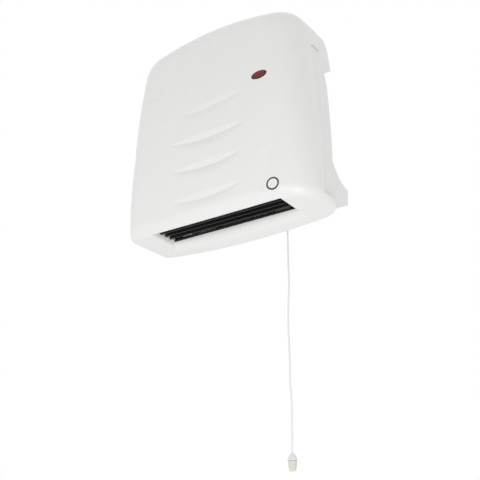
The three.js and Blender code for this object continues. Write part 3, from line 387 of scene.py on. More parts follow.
# %% Face relief
CRESCENTS = [  # left tip, right tip, sag of the crease, depth
    ((-36, 126), (57, 133.6), 2.6, 2.2),
    ((-50, 94.2), (55, 94.8), 4.6, 3.2),
    ((-49, 61.3), (49.5, 62.2), 4.6, 3.3),
    ((-50.7, 25.2), (47, 27.7), 4.6, 3),
]
CRESCENT_CURL, CURL_EASE = 1.8, 1.35  # height of the wall above the crease, and its curve
CRESCENT_GROUND, GROUND_EASE = 13, 2  # the same for the ground below the crease
CRESCENT_ENDS = 0.8  # how quickly the depth grows from each tip
FLANK = [(92.6, 104), (91.5, 80), (87.7, 59), (79.2, 46.7), (71.5, 24.4), (69.9, 7)]
FLANK_DEPTH = 1.5
FLANK_FADE, FLANK_BEYOND = 6, 4  # it fades four times as slowly beyond the crease
FLANK_TOP, FLANK_TOP_FADE = FLANK[0][1] + 12, 40
FLANK_FOOT, FLANK_FOOT_FADE = 2, 16


def crescent_depth(x, z):
    depth = 0
    for (left_x, left_z), (right_x, right_z), sag, deep in CRESCENTS:
        along = (x - left_x) / (right_x - left_x)
        if not 0 < along < 1:
            continue
        swell = 4 * along * (1 - along)
        crease = left_z + (right_z - left_z) * along - sag * swell
        top = crease + (sag + CRESCENT_CURL) * swell
        foot = crease - CRESCENT_GROUND * swell ** 0.5
        reach = deep * swell ** CRESCENT_ENDS
        if crease <= z < top:
            depth += reach * ((top - z) / (top - crease)) ** CURL_EASE
        elif foot < z < crease:
            depth += reach * ((z - foot) / (crease - foot)) ** GROUND_EASE
    return depth


def flank_line(z):
    for (x0, z0), (x1, z1) in zip(FLANK, FLANK[1:]):
        if z1 <= z <= z0:
            return x0 + (x1 - x0) * blend_in((z0 - z) / (z0 - z1))
    return FLANK[0][0] if z > FLANK[0][1] else FLANK[-1][0]


def flank_depth(x, z):
    ends = blend_in((FLANK_TOP - z) / FLANK_TOP_FADE)
    ends *= blend_in((z - FLANK_FOOT) / FLANK_FOOT_FADE)
    beyond = x - flank_line(z)
    fade = FLANK_FADE if beyond < 0 else FLANK_BEYOND * FLANK_FADE
    return FLANK_DEPTH * ends * math.exp(-abs(beyond) / fade)


# %% Cover skin
def row_height(share):
    """Spreads the rows so that most of them cross the crescents."""
    stops = [(0, 0), (0.07, 12), (0.8, 145), (1, TALL)]
    for (s0, z0), (s1, z1) in zip(stops, stops[1:]):
        if share <= s1:
            return z0 + (z1 - z0) * (share - s0) / (s1 - s0)
    return TALL


def column_place(share):
    """Spreads the columns so that a few of them stand close to each side."""
    near, strip = 0.82, 7
    far = HALF_LOW - strip
    if abs(share) <= near:
        return share / near * far
    return math.copysign(far + (abs(share) - near) / (1 - near) * strip, share)


def round_corner(x, z):
    """Moves a point of a sharp-cornered sheet so that the sheet gets round upper corners."""
    dx = abs(x) - HALF_LOW + TOP_CORNER
    dz = z - TALL + TOP_CORNER
    if dx <= 0 or dz <= 0:
        return x, z
    reach = max(dx, dz)
    angle = math.pi / 4 * (dz / dx if dx >= dz else 2 - dx / dz)
    return (math.copysign(HALF_LOW - TOP_CORNER + reach * math.cos(angle), x),
            TALL - TOP_CORNER + reach * math.sin(angle))


def place(point):
    return Vector((point.x * MM, point.y * MM, RIM + point.z * MM))


def make_skin():
    bm = bmesh.new()
    flat = bm.verts.layers.float_vector.new("flat")
    bmesh.ops.create_grid(bm, x_segments=FACE_COLUMNS, y_segments=FACE_ROWS, size=1)
    for v in bm.verts:
        x, z = round_corner(column_place(v.co.x), row_height((v.co.y + 1) / 2))
        v[flat] = Vector((x, 0, z))
        v.co = place(skin_point(x, z, 1))
    rim = [e for e in bm.edges if e.is_boundary]
    steps = [(1 - i / ROUND_STEPS, 0) for i in range(1, ROUND_STEPS + 1)]
    steps += [(0, i / SIDE_STEPS) for i in range(1, SIDE_STEPS + 1)]
    for turn, rearwards in steps:
        made = bmesh.ops.extrude_edge_only(bm, edges=rim)["geom"]
        for v in [g for g in made if isinstance(g, bmesh.types.BMVert)]:
            v.co = place(skin_point(v[flat].x, v[flat].z, turn, rearwards))
        rim = [g for g in made if isinstance(g, bmesh.types.BMEdge)]
    bmesh.ops.recalc_face_normals(bm, faces=bm.faces)
    return bm


# %% [markdown]
# The skin becomes a shell with a Solidify modifier, and Boolean modifiers then cut it: the long
# notch in each side and the open back above it, the outlet with its funnel and neck, the round
# rear corners of the underside, and the lens's hole. Holes could be left in the grid instead,
# but a cut follows its own outline and not the grid's. The cutters are simple closed shapes
# that are thrown away afterwards.

# %% Cutters
OUTLET_SHIFT = -2  # the outlet stands a little left of the middle
OUTLET_HALF, OUTLET_FRONT, OUTLET_REAR = 90, 86.8, 34.8
NECK_HALF, NECK_FRONT, NECK_REAR = 86, 78.8, 43.6
FUNNEL_TOP, NECK_TOP, NECK_WALL, OUTLET_CORNER = 4, 14, 2.5, 1.2
CORNER_STEPS, SIDE_PIECES = 4, 12
FUNNEL_SHARES = (1.5, 1, 0.85, 0.65, 0.4, 0)
FUNNEL_SINE, FUNNEL_RISE = 0.8, 0.4  # the wall is an arc: its last sine, and 1 less its cosine
FUNNEL_SLOPE = 2.67  # below the underside the cutter goes on as steeply as the arc ends
NOTCH_FRONT, NOTCH_LOW, NOTCH_TOP, NOTCH_ROUND = 57, 7, 197, 10
REAR_CORNER = {-1: 10, 1: 24}  # radius at the left and at the right
# How far each cutter reaches past what it cuts.
FUNNEL_BELOW, FUNNEL_ABOVE, NOTCH_PAST, NOTCH_BEHIND, CORNER_PAST, LENS_AHEAD = 6, 4, 5, 6, 4, 8
LENS_X, LENS_Z, LENS_HALF_WIDE, LENS_HALF_TALL = 74.3, 144.2, 9.75, 4.75
LENS_GAP = 0.3


def plain_object(bm, name):
    """An object that is no piece: a tool that serves a modifier, or the floor."""
    bmesh.ops.recalc_face_normals(bm, faces=bm.faces)
    mesh = bpy.data.meshes.new(name)
    bm.to_mesh(mesh)
    bm.free()
    shape = bpy.data.objects.new(name, mesh)
    bpy.context.scene.collection.objects.link(shape)
    return shape


def outlet_ring(half, front, rear, height, spread):
    """A level ring with round corners, whose long sides are cut into short pieces."""
    x = half + spread - OUTLET_CORNER
    y1 = -rear + spread - OUTLET_CORNER
    y0 = -front - spread + OUTLET_CORNER
    ring = []
    for quarter, (cx, cy) in enumerate([(x, y1), (-x, y1), (-x, y0), (x, y0)]):
        ring += [Vector((OUTLET_SHIFT + px, py, height)) for px, py in
                 arc((cx, cy), OUTLET_CORNER, 90 * quarter, 90 * quarter + 90, CORNER_STEPS)]
        if quarter in (0, 2):
            start = ring[-1]
            ring += [Vector((OUTLET_SHIFT + (start.x - OUTLET_SHIFT) * (1 - 2 * i / SIDE_PIECES),
                             start.y, height)) for i in range(1, SIDE_PIECES)]
    return ring


def funnel_ring(share, spread):
    """A ring of the funnel: share is 0 at the neck and 1 where it meets the underside."""
    grow = (1 - math.sqrt(1 - (FUNNEL_SINE * min(share, 1)) ** 2)) / FUNNEL_RISE
    grow += FUNNEL_SLOPE * max(share - 1, 0)
    half, front, rear = [neck + (rim - neck) * grow for rim, neck in
                         [(OUTLET_HALF, NECK_HALF), (OUTLET_FRONT, NECK_FRONT),
                          (OUTLET_REAR, NECK_REAR)]]
    ring = outlet_ring(half, front, rear, 0, spread)
    for point in ring:
        point.z = FUNNEL_TOP + share * (sagged(point).z - FUNNEL_TOP)
    return ring


def make_funnel(spread, top):
    """A closed tool: a straight start below the cover, then the funnel, then the neck."""
    rings = [funnel_ring(share, spread) for share in FUNNEL_SHARES]
    rings.insert(0, [Vector((point.x, point.y, -SAG - FUNNEL_BELOW)) for point in rings[0]])
    rings.append(outlet_ring(NECK_HALF, NECK_FRONT, NECK_REAR, top, spread))
    bm = bmesh.new()
    layers = [[bm.verts.new(place(point)) for point in ring] for ring in rings]
    for lower, upper in zip(layers, layers[1:]):
        for i in range(len(lower)):
            bm.faces.new((lower[i - 1], lower[i], upper[i], upper[i - 1]))
    bmesh.ops.holes_fill(bm, edges=[e for e in bm.edges if e.is_boundary], sides=0)
    return plain_object(bm, "funnel_tool")


def pushed_outline(outline, along, name):
    """An outline of points in millimetres, filled and extruded along a direction."""
    bm = bmesh.new()
    face = bm.faces.new([bm.verts.new(place(Vector(point))) for point in outline])
    made = bmesh.ops.extrude_face_region(bm, geom=[face])["geom"]
    moved = [g for g in made if isinstance(g, bmesh.types.BMVert)]
    bmesh.ops.translate(bm, verts=moved, vec=Vector(along) * MM)
    return plain_object(bm, name)


def notch_tool():
    corner = arc((-NOTCH_FRONT + NOTCH_ROUND, NOTCH_TOP - NOTCH_ROUND), NOTCH_ROUND, 90, 180, 8)
    high = TALL + NOTCH_PAST
    head = [(NOTCH_BEHIND, high), (-TOP_REAR, high), (-TOP_REAR, NOTCH_TOP)]
    outline = [(NOTCH_BEHIND, NOTCH_LOW)] + head + corner + [(-NOTCH_FRONT, NOTCH_LOW)]
    wide = HALF_LOW + NOTCH_PAST
    return pushed_outline([(-wide, y, z) for y, z in outline], (2 * wide, 0, 0), "notch_tool")


def rear_corner_tool(side):
    edge = HALF_LOW + 0.5
    wide = REAR_CORNER[side]
    corner = arc((edge - wide, -REAR - wide), wide, 90, 0, 10)
    behind = -REAR + CORNER_PAST
    outline = [(edge + CORNER_PAST, behind), (edge - wide, behind)] + corner
    outline += [(edge + CORNER_PAST, -REAR - wide)]
    low = -SAG - CORNER_PAST
    return pushed_outline([(side * x, y, low) for x, y in outline], (0, 0, NOTCH_LOW - low),
                          "rear_corner_tool")


def lens_tool():
    oval = [((LENS_HALF_WIDE + LENS_GAP) * x, (LENS_HALF_TALL + LENS_GAP) * z)
            for x, z in arc((0, 0), 1, 0, 360, 48)[:-1]]
    start = -DEEP - FACE_BOW - LENS_AHEAD
    return pushed_outline([(LENS_X + x, start, LENS_Z + z) for x, z in oval],
                          (0, -DEEP - start, 0), "lens_tool")


# %% Cover shell
def applied(obj):
    """The object's mesh with its modifiers applied, as a bmesh."""
    evaluated = obj.evaluated_get(bpy.context.evaluated_depsgraph_get())
    mesh = bpy.data.meshes.new_from_object(evaluated)
    bm = bmesh.new()
    bm.from_mesh(mesh)
    bpy.data.meshes.remove(mesh)
    return bm


def boolean(target, tool, operation):
    step = target.modifiers.new(tool.name, "BOOLEAN")
    step.operation = operation
    step.object = tool
    step.solver = "EXACT"


def make_cover():
    closed = make_skin()
    bmesh.ops.holes_fill(closed, edges=[e for e in closed.edges if e.is_boundary], sides=0)
    bmesh.ops.translate(closed, verts=closed.verts, vec=(0, MM, MM))  # so no faces coincide
    neck = plain_object(closed, "neck_walls")
    outer_tool = make_funnel(NECK_WALL, NECK_TOP)
    boolean(neck, outer_tool, "INTERSECT")

    shell = plain_object(make_skin(), "cover_shell")
    thick = shell.modifiers.new("wall", "SOLIDIFY")
    thick.thickness = WALL * MM
    thick.offset = -1
    thick.use_even_offset = True
    boolean(shell, neck, "UNION")
    tools = [make_funnel(0, NECK_TOP + FUNNEL_ABOVE), notch_tool(), rear_corner_tool(1),
             rear_corner_tool(-1), lens_tool()]
    for tool in tools:
        boolean(shell, tool, "DIFFERENCE")
    bm = applied(shell)
    for obj in [shell, neck, outer_tool, *tools]:
        bpy.data.objects.remove(obj)
    return make_piece(bm, "moulded_cover", "front_cover", outwards=False)


cover = make_cover()

# %% [markdown]
# ## The louvre and the lens
#
# Black blades stand across the outlet, so that fingers stay out and hot air comes through.
# Each is a thin bar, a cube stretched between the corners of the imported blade, and only its
# long edges are rounded, because its ends sit in the combs. The red lens over the neon lamp is
# an oval dome. It could be a squashed sphere, but it has a flange behind the cover, so it is
# turned from an outline as a round one and then stretched.

# %% Louvre blades
BLADE_DROP, BLADE_GAP, BLADE_ROUND = 2.4, 0.3, 0.45
blade_nodes = sorted(node for node in frame["nodes"] if node.startswith("louvre_blade"))
blades = []
for number, node in enumerate(blade_nodes, start=1):
    low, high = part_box(node)
    low.z -= BLADE_DROP * MM
    low.x = (OUTLET_SHIFT - NECK_HALF + BLADE_GAP) * MM
    high.x = (OUTLET_SHIFT + NECK_HALF - BLADE_GAP) * MM
    bm = bmesh.new()
    bmesh.ops.create_cube(bm, size=1)
    bmesh.ops.scale(bm, verts=bm.verts, vec=high - low)
    bmesh.ops.translate(bm, verts=bm.verts, vec=(low + high) / 2)
    long_edges = [e for e in bm.edges
                  if abs(e.verts[0].co.x - e.verts[1].co.x) > (high - low).x / 2]
    bmesh.ops.bevel(bm, geom=long_edges, offset=BLADE_ROUND * MM, offset_type="OFFSET",
                    segments=3, profile=0.5, affect="EDGES", material=-1)
    blades.append(make_piece(bm, f"blade_{number}", node))
print(len(blades), "blades")

# %% Lens
LENS_FLANGE = 1.4  # thickness
lens_low, lens_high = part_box("neon_lens")


def make_lens():
    crest = -lens_low.y / MM
    seat = -lens_high.y / MM
    flange = (lens_high.x - lens_low.x) / MM / 2 / LENS_HALF_WIDE
    outline = [(0, seat), (flange, seat), (flange, seat + LENS_FLANGE), (1, seat + LENS_FLANGE),
               (1, crest - 1.3), (0.985, crest - 1.05), (0.95, crest - 0.8),
               (0.88, crest - 0.55), (0.76, crest - 0.35), (0.6, crest - 0.19),
               (0.4, crest - 0.08), (0.2, crest - 0.02), (0, crest)]
    bm = turned(outline, 72)
    bmesh.ops.scale(bm, verts=bm.verts, vec=(LENS_HALF_WIDE, LENS_HALF_TALL, 1))
    turn = Matrix.Rotation(math.radians(90), 4, "X")
    bmesh.ops.transform(bm, matrix=turn, verts=bm.verts)
    bmesh.ops.translate(bm, verts=bm.verts, vec=(LENS_X * MM, 0, RIM + LENS_Z * MM))
    return make_piece(bm, "red_lens", "neon_lens")


lens = make_lens()

# %% [markdown]
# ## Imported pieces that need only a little
#
# The casing, the combs and the cord's bush have the right build, but a mould leaves no knife
# edge. Modelling them again would bring nothing new, so a merged copy of each gets smooth faces
# and a bevel on its sharp edges. The photograph shows the casing's head narrower at the wall
# and the ends of its foot lifted, so the copy's points move that far. The combs go with the
# outlet, and their plates get thinner.

# %% Finished copies
HEAD_LEAN = 2.3  # how far each side of the head moves in, from the front to the wall
HEAD_FRONT, HEAD_FRONT_FADE = -34, 20
HEAD_LOW, HEAD_LOW_FADE = 160, 40
HEAD_HIGH, HEAD_HIGH_FADE = 218, 12
FOOT_HIGH, FOOT_DEEP = 16, 35
FOOT_LIFT, FOOT_WALL_LIFT = 3.4, 1.3  # most of it halfway back, and some at the wall
FOOT_END, FOOT_END_FADE = 80, 14
COMB_WALL, COMB_THIN = 84.7, 0.4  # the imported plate's outer side, and the share it keeps
COMB_ROOT, COMB_REACH, COMB_DROP = 13.3, 8, 0.8  # 0.8 lower for each 8 below the root
COPY_MERGE = 2e-6
COPY_FLAT = math.radians(0.4)


def same(point):
    return point


def finished_copy(node, name, width, shape=same):
    """A merged copy, whose points (in millimetres from the bottom rim) go through shape."""
    bm = bmesh.new()
    bm.from_mesh(frame["nodes"][node].data)
    for v in bm.verts:
        v.co = place(shape(Vector((v.co.x / MM, v.co.y / MM, (v.co.z - RIM) / MM))))
    bmesh.ops.remove_doubles(bm, verts=bm.verts, dist=COPY_MERGE)
    bmesh.ops.dissolve_limit(bm, angle_limit=COPY_FLAT, verts=bm.verts, edges=bm.edges)
    piece = make_piece(bm, name, node, outwards=False)
    return round_edges(piece, width) if width else piece


def casing_shape(point):
    """The head leans in towards the wall, and the foot's underside lifts at both ends."""
    lean = blend_in((point.y - HEAD_FRONT) / HEAD_FRONT_FADE)
    lean *= blend_in((point.z - HEAD_LOW) / HEAD_LOW_FADE)
    lean *= 1 - blend_in((point.z - HEAD_HIGH) / HEAD_HIGH_FADE)
    point.x -= math.copysign(HEAD_LEAN * lean, point.x)
    if point.z < FOOT_HIGH and point.y > -FOOT_DEEP:
        lift = FOOT_WALL_LIFT * (1 + point.y / FOOT_DEEP)
        lift += FOOT_LIFT * math.sin(math.pi * (point.y + FOOT_DEEP) / FOOT_DEEP)
        point.z += lift * blend_in((abs(point.x) - FOOT_END) / FOOT_END_FADE)
    return point


def comb_shape(point):
    """The comb's plate is thin, stands at the blades' ends, and reaches down with them."""
    wall = math.copysign(COMB_WALL, point.x)
    edge = math.copysign(NECK_HALF - BLADE_GAP, point.x)
    point.x = OUTLET_SHIFT + edge + (point.x - wall) * COMB_THIN
    point.z -= COMB_DROP * max(COMB_ROOT - point.z, 0) / COMB_REACH
    return point


casing = finished_copy("rear_casing", "moulded_casing", 0.5 * MM, casing_shape)
combs = [finished_copy(f"outlet_comb_{side}", f"comb_{side}", 0.15 * MM, comb_shape)
         for side in ("left", "right")]
guide = finished_copy("cord_guide", "cord_bush", 0.2 * MM)

# %% [markdown]
# The switch's return spring stands on the switch body and is pressed down by the plunger, so
# it gets shorter by the whole travel of the cord. Here it is a finished copy with a mesh of its
# own that rides on one body, so it stays as long as it is and runs through the other.

# %% Return spring
spring = finished_copy("switch_spring", "return_spring", 0)
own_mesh(spring)

# %% [markdown]
# ## Shader tools
#
# A material is a tree of nodes. Each of these functions adds one node to a tree, feeds it with
# other outputs or with plain numbers, and hands back its output, so a pattern reads like a sum.
# Patterns follow Object coordinates. Every piece sits at the origin, so they stay where they
# are when the heater is turned or exported.

# %% Shader tools
RELIEF_DEPTH = 0.0002


def feed(tree, target, source):
    """Links an output to a socket, or sets the socket where the source is a plain value."""
    if isinstance(source, bpy.types.NodeSocket):
        tree.links.new(source, target)
    else:
        target.default_value = source


def maths(tree, operation, first, second=0):
    step = tree.nodes.new("ShaderNodeMath")
    step.operation = operation
    feed(tree, step.inputs[0], first)
    feed(tree, step.inputs[1], second)
    return step.outputs[0]


def vector_maths(tree, operation, first, second=(0, 0, 0)):
    step = tree.nodes.new("ShaderNodeVectorMath")
    step.operation = operation
    feed(tree, step.inputs[0], first)
    feed(tree, step.inputs[1], second)
    return step.outputs["Value" if operation == "LENGTH" else "Vector"]


def between(tree, value, low, high):
    """A mask that is 1 where the value lies between two limits."""
    return maths(tree, "MULTIPLY", maths(tree, "GREATER_THAN", value, low),
                 maths(tree, "LESS_THAN", value, high))


def colour_mix(tree, factor, first, second):
    mix = tree.nodes.new("ShaderNodeMix")
    mix.data_type = "RGBA"
    for name, source in (("Factor", factor), ("A", first), ("B", second)):
        feed(tree, mix.inputs[name], source)
    return mix.outputs["Result"]


def ramp(tree, value, start, end, low=0, high=1, smooth=True):
    """Carries the range from start to end over to the range from low to high."""
    step = tree.nodes.new("ShaderNodeMapRange")
    step.interpolation_type = "SMOOTHSTEP" if smooth else "LINEAR"
    for name, source in (("Value", value), ("From Min", start), ("From Max", end),
                         ("To Min", low), ("To Max", high)):
        feed(tree, step.inputs[name], source)
    return step.outputs["Result"]


def object_place(tree):
    return tree.nodes.new("ShaderNodeTexCoord").outputs["Object"]


def along_axes(tree, vector):
    axes = tree.nodes.new("ShaderNodeSeparateXYZ")
    tree.links.new(vector, axes.inputs[0])
    return axes.outputs


def noise(tree, where, scale, detail):
    pattern = tree.nodes.new("ShaderNodeTexNoise")
    pattern.inputs["Detail"].default_value = detail
    feed(tree, pattern.inputs["Vector"], where)
    feed(tree, pattern.inputs["Scale"], scale)
    return pattern.outputs["Fac"]


def bands(tree, direction, scale):
    pattern = tree.nodes.new("ShaderNodeTexWave")
    pattern.bands_direction = direction
    feed(tree, pattern.inputs["Vector"], object_place(tree))
    feed(tree, pattern.inputs["Scale"], scale)
    return pattern.outputs["Fac"]


def relief(tree, pattern, strength):
    """Makes a pattern stand out a little from the surface, as a normal."""
    bump = tree.nodes.new("ShaderNodeBump")
    bump.inputs["Distance"].default_value = RELIEF_DEPTH
    feed(tree, bump.inputs["Height"], pattern)
    feed(tree, bump.inputs["Strength"], strength)
    return bump.outputs["Normal"]


# %% [markdown]
# ## Shared shader groups
#
# Every moulding shares three small truths: its colour drifts a little, its gloss isn't even,
# and its surface has a fine skin left by the mould. Metals share another set: fine lines, drawn
# along one axis, change their colour, gloss and relief. The laminations, the winding, the mica
# and the cord's braid use the lines too, at widths of their own. Each set is one node group,
# because a material then only has to place it with its own values.

# %% Surface groups
SOCKET_OF_SIZE = {1: "NodeSocketFloat", 3: "NodeSocketVector", 4: "NodeSocketColor"}
SURFACE = {"Colour": 4, "Roughness": 1, "Normal": 3}


def start_group(name, inputs, outputs):
    """A group with named inputs and their defaults, and named outputs and their sizes."""
    group = bpy.data.node_groups.new(name, "ShaderNodeTree")
    for label, value in inputs.items():
        size = len(value) if isinstance(value, tuple) else 1
        made = group.interface.new_socket(name=label, in_out="INPUT",
                                          socket_type=SOCKET_OF_SIZE[size])
        made.default_value = value
    for label, size in outputs.items():
        group.interface.new_socket(name=label, in_out="OUTPUT",
                                   socket_type=SOCKET_OF_SIZE[size])
    given = group.nodes.new("NodeGroupInput").outputs
    result = group.nodes.new("NodeGroupOutput").inputs
    return group, given, result


def finish_group(group, given, result, pattern, skin, height, smooth):
    """Colour and gloss follow the pattern, and the relief follows the skin."""
    feed(group, result["Colour"],
         colour_mix(group, pattern, given["Deep tone"], given["Light tone"]))
    feed(group, result["Roughness"],
         ramp(group, pattern, 0, 1, given["Gloss low"], given["Gloss high"], smooth))
    feed(group, result["Normal"], relief(group, skin, height))
    return group


def build_moulded_group():
    group, given, result = start_group("moulded_surface", {
        "Light tone": (0.85, 0.85, 0.83, 1), "Deep tone": (0.8, 0.8, 0.78, 1),
        "Drift size": 14, "Gloss low": 0.26, "Gloss high": 0.36,
        "Skin size": 900, "Skin height": 0.02}, SURFACE)
    where = object_place(group)
    drift = noise(group, where, given["Drift size"], detail=3)
    skin = noise(group, where, given["Skin size"], detail=2)
    return finish_group(group, given, result, drift, skin, given["Skin height"], smooth=True)


def build_lined_group():
    group, given, result = start_group("lined_surface", {
        "Light tone": (0.6, 0.6, 0.6, 1), "Deep tone": (0.5, 0.5, 0.5, 1),
        "Stretch": (1, 1, 1), "Lines": 400, "Gloss low": 0.3, "Gloss high": 0.5,
        "Relief": 0.2}, SURFACE)
    drawn = vector_maths(group, "MULTIPLY", object_place(group), given["Stretch"])
    lines = noise(group, drawn, given["Lines"], detail=4)
    return finish_group(group, given, result, lines, lines, given["Relief"], smooth=False)


moulded = build_moulded_group()
lined = build_lined_group()
print("groups", moulded.name, lined.name)

# %% Placing a group in a material
def new_material(name):
    material = bpy.data.materials.new(name)
    material.use_nodes = True
    return material, material.node_tree, material.node_tree.nodes["Principled BSDF"]


def place_group(tree, group, values):
    node = tree.nodes.new("ShaderNodeGroup")
    node.node_tree = group
    for name, value in values.items():
        node.inputs[name].default_value = value
    return node.outputs


def coat(tree, shader, group, light, deep, low, high, more):
    """Dresses a shader in a surface group, and gives back the group's colour."""
    surface = place_group(tree, group, {"Light tone": (*light, 1), "Deep tone": (*deep, 1),
                                        "Gloss low": low, "Gloss high": high, **more})
    feed(tree, shader.inputs["Base Color"], surface["Colour"])
    feed(tree, shader.inputs["Roughness"], surface["Roughness"])
    feed(tree, shader.inputs["Normal"], surface["Normal"])
    return surface["Colour"]


def coat_moulded(tree, shader, light, deep, low, high, drift=14):
    return coat(tree, shader, moulded, light, deep, low, high,
                {"Drift size": drift, "Skin size": 900, "Skin height": 0.02})


def plastic(name, *finish):
    material, tree, shader = new_material(name)
    coat_moulded(tree, shader, *finish)
    return material


def lined_material(name, light, deep, low, high, stretch, lines, metallic=1.0, height=0.15):
    material, tree, shader = new_material(name)
    coat(tree, shader, lined, light, deep, low, high,
         {"Stretch": stretch, "Lines": lines, "Relief": height})
    shader.inputs["Metallic"].default_value = metallic
    return material


# %% [markdown]
# ## The printed ring
#
# A plain ring is printed low on the right of the face. It could be a thin raised band, but ink
# has no height that the eye can see, so it is colour alone. A group turns the place on the
# surface into a mask: it is 1 where the distance from the ring's middle is within half a line's
# width of its radius, and 0 elsewhere. The ring is a little flatter than a circle.

# %% Ring mask
def build_ring_group():
    group, given, result = start_group("ring_mask", {
        "Middle": (0, 0, 0), "Radius": 0.008, "Line": 0.0016, "Squash": (1, 0, 1)}, {"Mask": 1})
    offset = vector_maths(group, "SUBTRACT", object_place(group), given["Middle"])
    flat = vector_maths(group, "MULTIPLY", offset, given["Squash"])
    away = maths(group, "SUBTRACT", vector_maths(group, "LENGTH", flat), given["Radius"])
    share = maths(group, "DIVIDE", maths(group, "ABSOLUTE", away), given["Line"])
    feed(group, result["Mask"], ramp(group, share, 0.6, 0.4))
    return group


ring_mask = build_ring_group()
print("group", ring_mask.name)

# %% [markdown]
# ## White cover, red lens, glass and earth lead
#
# The cover is a slightly warm white plastic. The same material paints shade on the neck's rear
# wall, a band at the back of the outlet: that mask is a box, made of one pair of limits for each
# axis. The lens is red plastic that looks nearly black at its rim, where one sees into its thick
# edge, and has fine ribs. A texture image could give all this, but masks that are worked out stay
# sharp at any distance.

# %% Cover, lens, glass and earth lead
WHITE = (0.84, 0.84, 0.825)
WHITE_DEEP = (0.82, 0.82, 0.805)
# Near black: the ink of the printed ring, and also the painted shade on the outlet's rear wall.
INK_AND_SHADE = (0.03, 0.03, 0.032, 1)
RING_X, RING_Z, RING_RADIUS, RING_LINE, RING_SQUASH = 83.1, 14.7, 6.95, 2, 0.86
RING_REACH = 8  # how far behind the face's lower edge the ring may still be printed
# The box, in millimetres, where shade is painted on the neck's rear wall inside the outlet.
NECK_SHADE_LOW = Vector((-NECK_HALF - 4, -NECK_REAR - 0.3, FUNNEL_TOP + 0.2))
NECK_SHADE_HIGH = Vector((NECK_HALF + 4, -NECK_REAR + 2.3, NECK_TOP + 1))
LENS_RED = (0.2, 0.008, 0.01, 1), (0.21, 0.03, 0.038, 1)  # its left side, its right side
LENS_RIM = (0.045, 0.002, 0.002, 1), (0.035, 0.01, 0.016, 1)


def printed_cover():
    """The cover's white, a printed deep grey ring, and painted shade on the outlet's rear wall."""
    material, tree, shader = new_material("cover_white")
    white = coat_moulded(tree, shader, WHITE, WHITE_DEEP, 0.24, 0.29, drift=40)
    ring = place_group(tree, ring_mask, {
        "Middle": place(Vector((RING_X, 0, RING_Z))), "Radius": RING_RADIUS * MM,
        "Line": RING_LINE * MM, "Squash": (1, 0, 1 / RING_SQUASH)})["Mask"]
    axes = along_axes(tree, object_place(tree))
    on_face = maths(tree, "LESS_THAN", axes["Y"], -(DEEP - RING_REACH) * MM)
    # Painted shade: a box mask that darkens the neck's rear wall.
    neck = 1
    for axis, low, high in zip("XYZ", place(NECK_SHADE_LOW), place(NECK_SHADE_HIGH)):
        neck = maths(tree, "MULTIPLY", neck, between(tree, axes[axis], low, high))
    ink_and_shade = maths(tree, "MAXIMUM", maths(tree, "MULTIPLY", ring, on_face), neck)
    feed(tree, shader.inputs["Base Color"], colour_mix(tree, ink_and_shade, white, INK_AND_SHADE))
    return material


def lens_material():
    """A red lens: it darkens towards its rim, is more purple on its right, and is ribbed."""
    material, tree, shader = new_material("lens_red")
    centred = vector_maths(tree, "SUBTRACT", object_place(tree),
                           place(Vector((LENS_X, 0, LENS_Z))))
    scaled = vector_maths(tree, "MULTIPLY", centred,
                          (1 / (LENS_HALF_WIDE * MM), 0, 1 / (LENS_HALF_TALL * MM)))
    rim = ramp(tree, vector_maths(tree, "LENGTH", scaled), 0.62, 1)
    across = ramp(tree, along_axes(tree, scaled)["X"], -0.8, 0.8, smooth=False)
    red = colour_mix(tree, rim, colour_mix(tree, across, *LENS_RED),
                     colour_mix(tree, across, *LENS_RIM))
    feed(tree, shader.inputs["Base Color"], red)
    feed(tree, shader.inputs["Normal"], relief(tree, bands(tree, "X", 300), 0.3))
    shader.inputs["Roughness"].default_value = 0.22
    shader.inputs["Specular IOR Level"].default_value = 0.25
    return material


def striped_lead():
    """Green insulation with yellow stripes that wind round it."""
    material, tree, shader = new_material("lead_earth")
    green = coat_moulded(tree, shader, (0.04, 0.3, 0.05), (0.03, 0.24, 0.04), 0.4, 0.5)
    stripes = ramp(tree, bands(tree, "DIAGONAL", 40), 0.6, 0.7)
    feed(tree, shader.inputs["Base Color"],
         colour_mix(tree, stripes, green, (0.75, 0.62, 0.03, 1)))
    return material


def clear_glass():
    """The neon lamp's envelope, warm and nearly clear."""
    material, tree, shader = new_material("lamp_glass")
    coat_moulded(tree, shader, (0.9, 0.84, 0.78), (0.85, 0.76, 0.68), 0.04, 0.08)
    shader.inputs["Transmission Weight"].default_value = 0.85
    shader.inputs["IOR"].default_value = 1.5
    return material


# %% [markdown]
# ## The other finishes
#
# The rest differ only in their numbers, so they are two tables. A mould leaves an even plastic.
# Sheet and turned metal have lines along the way they were drawn, and short ones where the
# stretch is the same on every axis, as on a zinc coat. Laminations and winding have deep, close
# lines, one for each sheet or wire.

